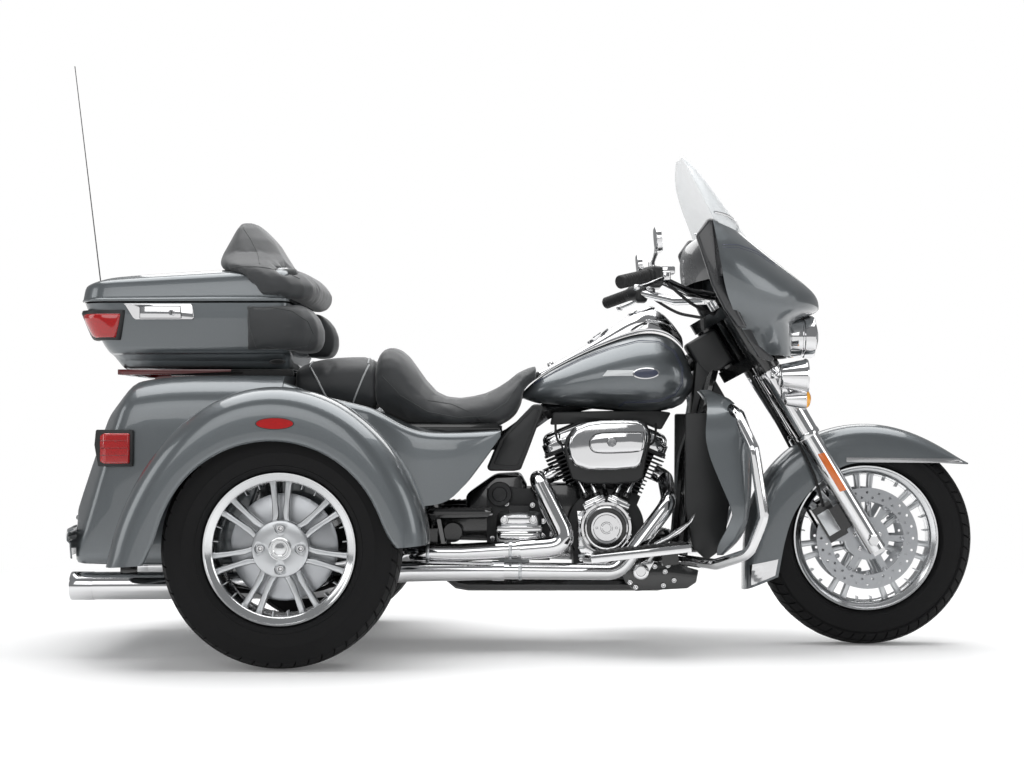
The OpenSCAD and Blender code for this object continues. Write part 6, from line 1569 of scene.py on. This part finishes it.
@dataclass
class Underside:
    """Footboards, brackets, pedal, black boxes and panels between the wheels."""
    board: Matrix = field(default_factory=lambda: Matrix.Translation((0.360, -0.329, 0.284))
                          @ Matrix.Rotation(math.radians(-6.5), 4, "Y"))

    def build(self) -> None:
        """Makes the pieces round the engine."""
        self.boards()
        self.bracket()
        self.boxes()
        self.neck()

    def slope(self, low: Point, high: Point, bevel: float) -> bpy.types.Object:
        """Returns a block that lies on the tilted board."""
        return BENCH.repeat(BENCH.block(low, high, bevel), [self.board])

    def boards(self) -> None:
        """Lays rubber on the boards and a bright bar along each side."""
        BENCH.dress("footboards", GLOSS_BLACK)
        bar = self.slope((-0.141, -0.0565, 0.000), (0.141, -0.0518, 0.0225), 0.0020)
        nose = self.slope((0.1375, -0.050, 0.002), (0.1425, 0.050, 0.0215), 0.0020)
        BENCH.give(BENCH.across(BENCH.join([bar, nose])), "footboard_side_bars", "chassis", CHROME_PLATE)
        mat = [self.slope((-0.130, -0.046, 0.0228), (0.130, 0.046, 0.0262), 0.0012)]
        mat += [self.slope((x, -0.042, 0.0258), (x + 0.010, 0.042, 0.0290), 0.0008) for x in [-0.122 + 0.0195 * i for i in range(13)]]
        rear = [BENCH.block((-0.239, -0.316, 0.4135), (-0.063, -0.232, 0.4175), 0.0015)]
        rear += [BENCH.block((x, -0.312, 0.4170), (x + 0.008, -0.236, 0.4196), 0.0008) for x in [-0.232 + 0.0180 * i for i in range(10)]]
        BENCH.give(BENCH.across(BENCH.join(mat + rear)), "footboard_rubbers", "chassis", SOFT_RUBBER)

    def bracket(self) -> None:
        """Sets the black side plate with its screws, and the brake pedal."""
        rows = ((0.301, 0.2505), (0.411, 0.257), (0.466, 0.252), (0.540, 0.232), (0.533, 0.1965), (0.507, 0.179), (0.356, 0.171),
                (0.326, 0.196))
        plate = BENCH.slab([(x, -0.154, z) for x, z in rows], (0, -0.012, 0), 0.003)
        BENCH.give(BENCH.across(plate), "control_brackets", "chassis", GLOSS_BLACK)
        spots = [(x, -0.166, z) for x, z in ((0.412, 0.243), (0.450, 0.246), (0.442, 0.228), (0.468, 0.203), (0.437, 0.188), (0.340, 0.197),
                                             (0.356, 0.183))]
        BENCH.give(BENCH.across(BENCH.bolts(spots, (0, -1, 0), 0.0075, 0.006)), "control_bracket_screws", "chassis", CHROME_PLATE)
        hub = BENCH.turned((0.371, -0.166, 0.229), (0, -1, 0), [
            (0.0, 0.0), (0.023, 0.0), (0.024, 0.002), (0.024, 0.016), (0.021, 0.019), (0.014, 0.019), (0.013, 0.016), (0.0, 0.016), (0.0, 0.0)], 40)
        arm = BENCH.slab([(x, -0.170, z) for x, z in ((0.354, 0.243), (0.392, 0.268), (0.412, 0.262), (0.388, 0.214))], (0, -0.010, 0), 0.003)
        rod = BENCH.pipe([(0.394, -0.176, 0.262), (0.420, -0.200, 0.300), (0.452, -0.232, 0.330), (0.470, -0.262, 0.352)], 0.0075, rounds=2)
        pad = BENCH.slab([(x, -0.250, z) for x, z in ((0.404, 0.318), (0.440, 0.336), (0.500, 0.378), (0.518, 0.404), (0.508, 0.380),
                         (0.470, 0.344), (0.432, 0.316), (0.408, 0.310))], (0, -0.058, 0), 0.002)
        BENCH.give(BENCH.join([hub, arm, rod, pad]), "brake_pedal", "chassis", CHROME_PLATE, shade=50)

    def boxes(self) -> None:
        """Fills the black places under the tank and behind the engine."""
        box = BENCH.slab([(x, -0.104, z) for x, z in ((-0.140, 0.449), (-0.055, 0.508), (0.020, 0.512), (0.040, 0.478), (0.044, 0.310),
                         (-0.300, 0.318), (-0.300, 0.372), (-0.140, 0.404))], (0, 0.208, 0), 0.012, 3)
        coil = BENCH.slab([(x, -0.058, z) for x, z in ((0.110, 0.655), (0.118, 0.694), (0.420, 0.700), (0.470, 0.692), (0.440, 0.640),
                          (0.400, 0.656), (0.274, 0.664))], (0, 0.116, 0), 0.006)
        cap = BENCH.turned((-0.045, -0.104, 0.449), (0, -1, 0), [
            (0.0, 0.0), (0.034, 0.0), (0.034, 0.010), (0.030, 0.014), (0.026, 0.014), (0.024, 0.010), (0.0, 0.010), (0.0, 0.0)], 40)
        cup = BENCH.turned((-0.178, -0.104, 0.340), (0, -1, 0), [
            (0.0, 0.0), (0.030, 0.0), (0.030, 0.018), (0.027, 0.021), (0.0, 0.021), (0.0, 0.0)], 40)
        arm = BENCH.slab([(x, -0.112, z) for x, z in ((-0.262, 0.408), (-0.066, 0.412), (-0.060, 0.394), (-0.076, 0.381), (-0.262, 0.378))],
                         (0, -0.034, 0), 0.006)
        BENCH.give(BENCH.join([box, cap, cup]), "battery_and_oil_box", "chassis", GLOSS_BLACK)
        BENCH.give(BENCH.across(arm), "swingarm_sides", "chassis", GLOSS_BLACK)
        BENCH.give(coil, "coil_bracket", "chassis", MOULDED_BLACK)
        pan = BENCH.block((-0.392, -0.180, 0.630), (-0.040, 0.180, 0.662), 0.010)
        joint = BENCH.block((0.090, -0.092, 0.340), (0.200, 0.092, 0.480), 0.008)
        BENCH.give(BENCH.join([pan, joint]), "saddle_pan_and_case_joint", "chassis", GLOSS_BLACK)
        panel = BENCH.slab([(x, -0.176, z) for x, z in ((0.500, 0.690), (0.498, 0.420), (0.520, 0.300), (0.560, 0.262), (0.612, 0.300),
                           (0.626, 0.420), (0.612, 0.560), (0.620, 0.690))], (0, -0.022, 0), 0.006)
        BENCH.give(BENCH.across(panel), "lower_fairing_liners", "chassis", MOULDED_BLACK)
        core = [BENCH.block((0.522, -0.104, 0.280), (0.556, 0.104, 0.292), 0.003), BENCH.block((0.522, -0.104, 0.560), (0.556, 0.104, 0.576), 0.003)]
        core += [BENCH.block((0.526, -0.100, z), (0.552, 0.100, z + 0.0022), 0.0003, 1) for z in [0.294 + 0.0076 * i for i in range(35)]]
        core += [BENCH.block((0.534, -0.102, 0.288), (0.544, 0.102, 0.564), 0.0)]
        BENCH.give(BENCH.join(core), "oil_cooler", "chassis", GLOSS_BLACK)

    def neck(self) -> None:
        """Covers the steering neck and the wiring below it."""
        rake = Matrix.Translation((1.05, 0, 0.319)) @ Matrix.Rotation(math.radians(-31), 4, "Y")
        cover = BENCH.repeat(BENCH.block((-0.165, -0.050, 0.652), (-0.062, 0.050, 0.770), 0.012, 3), [rake])
        BENCH.give(cover, "neck_cover", "chassis", MOULDED_BLACK)
        trough = BENCH.slab([(x, -0.052, z) for x, z in ((0.545, 0.850), (0.596, 0.800), (0.634, 0.735), (0.600, 0.690), (0.520, 0.640),
                            (0.535, 0.740))], (0, 0.104, 0), 0.008)
        BENCH.give(trough, "wiring_trough", "chassis", MOULDED_BLACK)


def main() -> None:
    """Builds the trike's looks in order."""
    logging.basicConfig(level=logging.INFO, format="%(message)s")
    FRAME.update(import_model())
    for part in (Studio(), Panels(), Seats(), Engine(), Exhaust(), Wheels(), LuggageBox(), RearBody(), TankAndSeats(),
                 FrontEnd(), Controls(), Underside()):
        part.build()
    BENCH.dress("frame", GLOSS_BLACK)


if __name__ == "__main__":
    main()
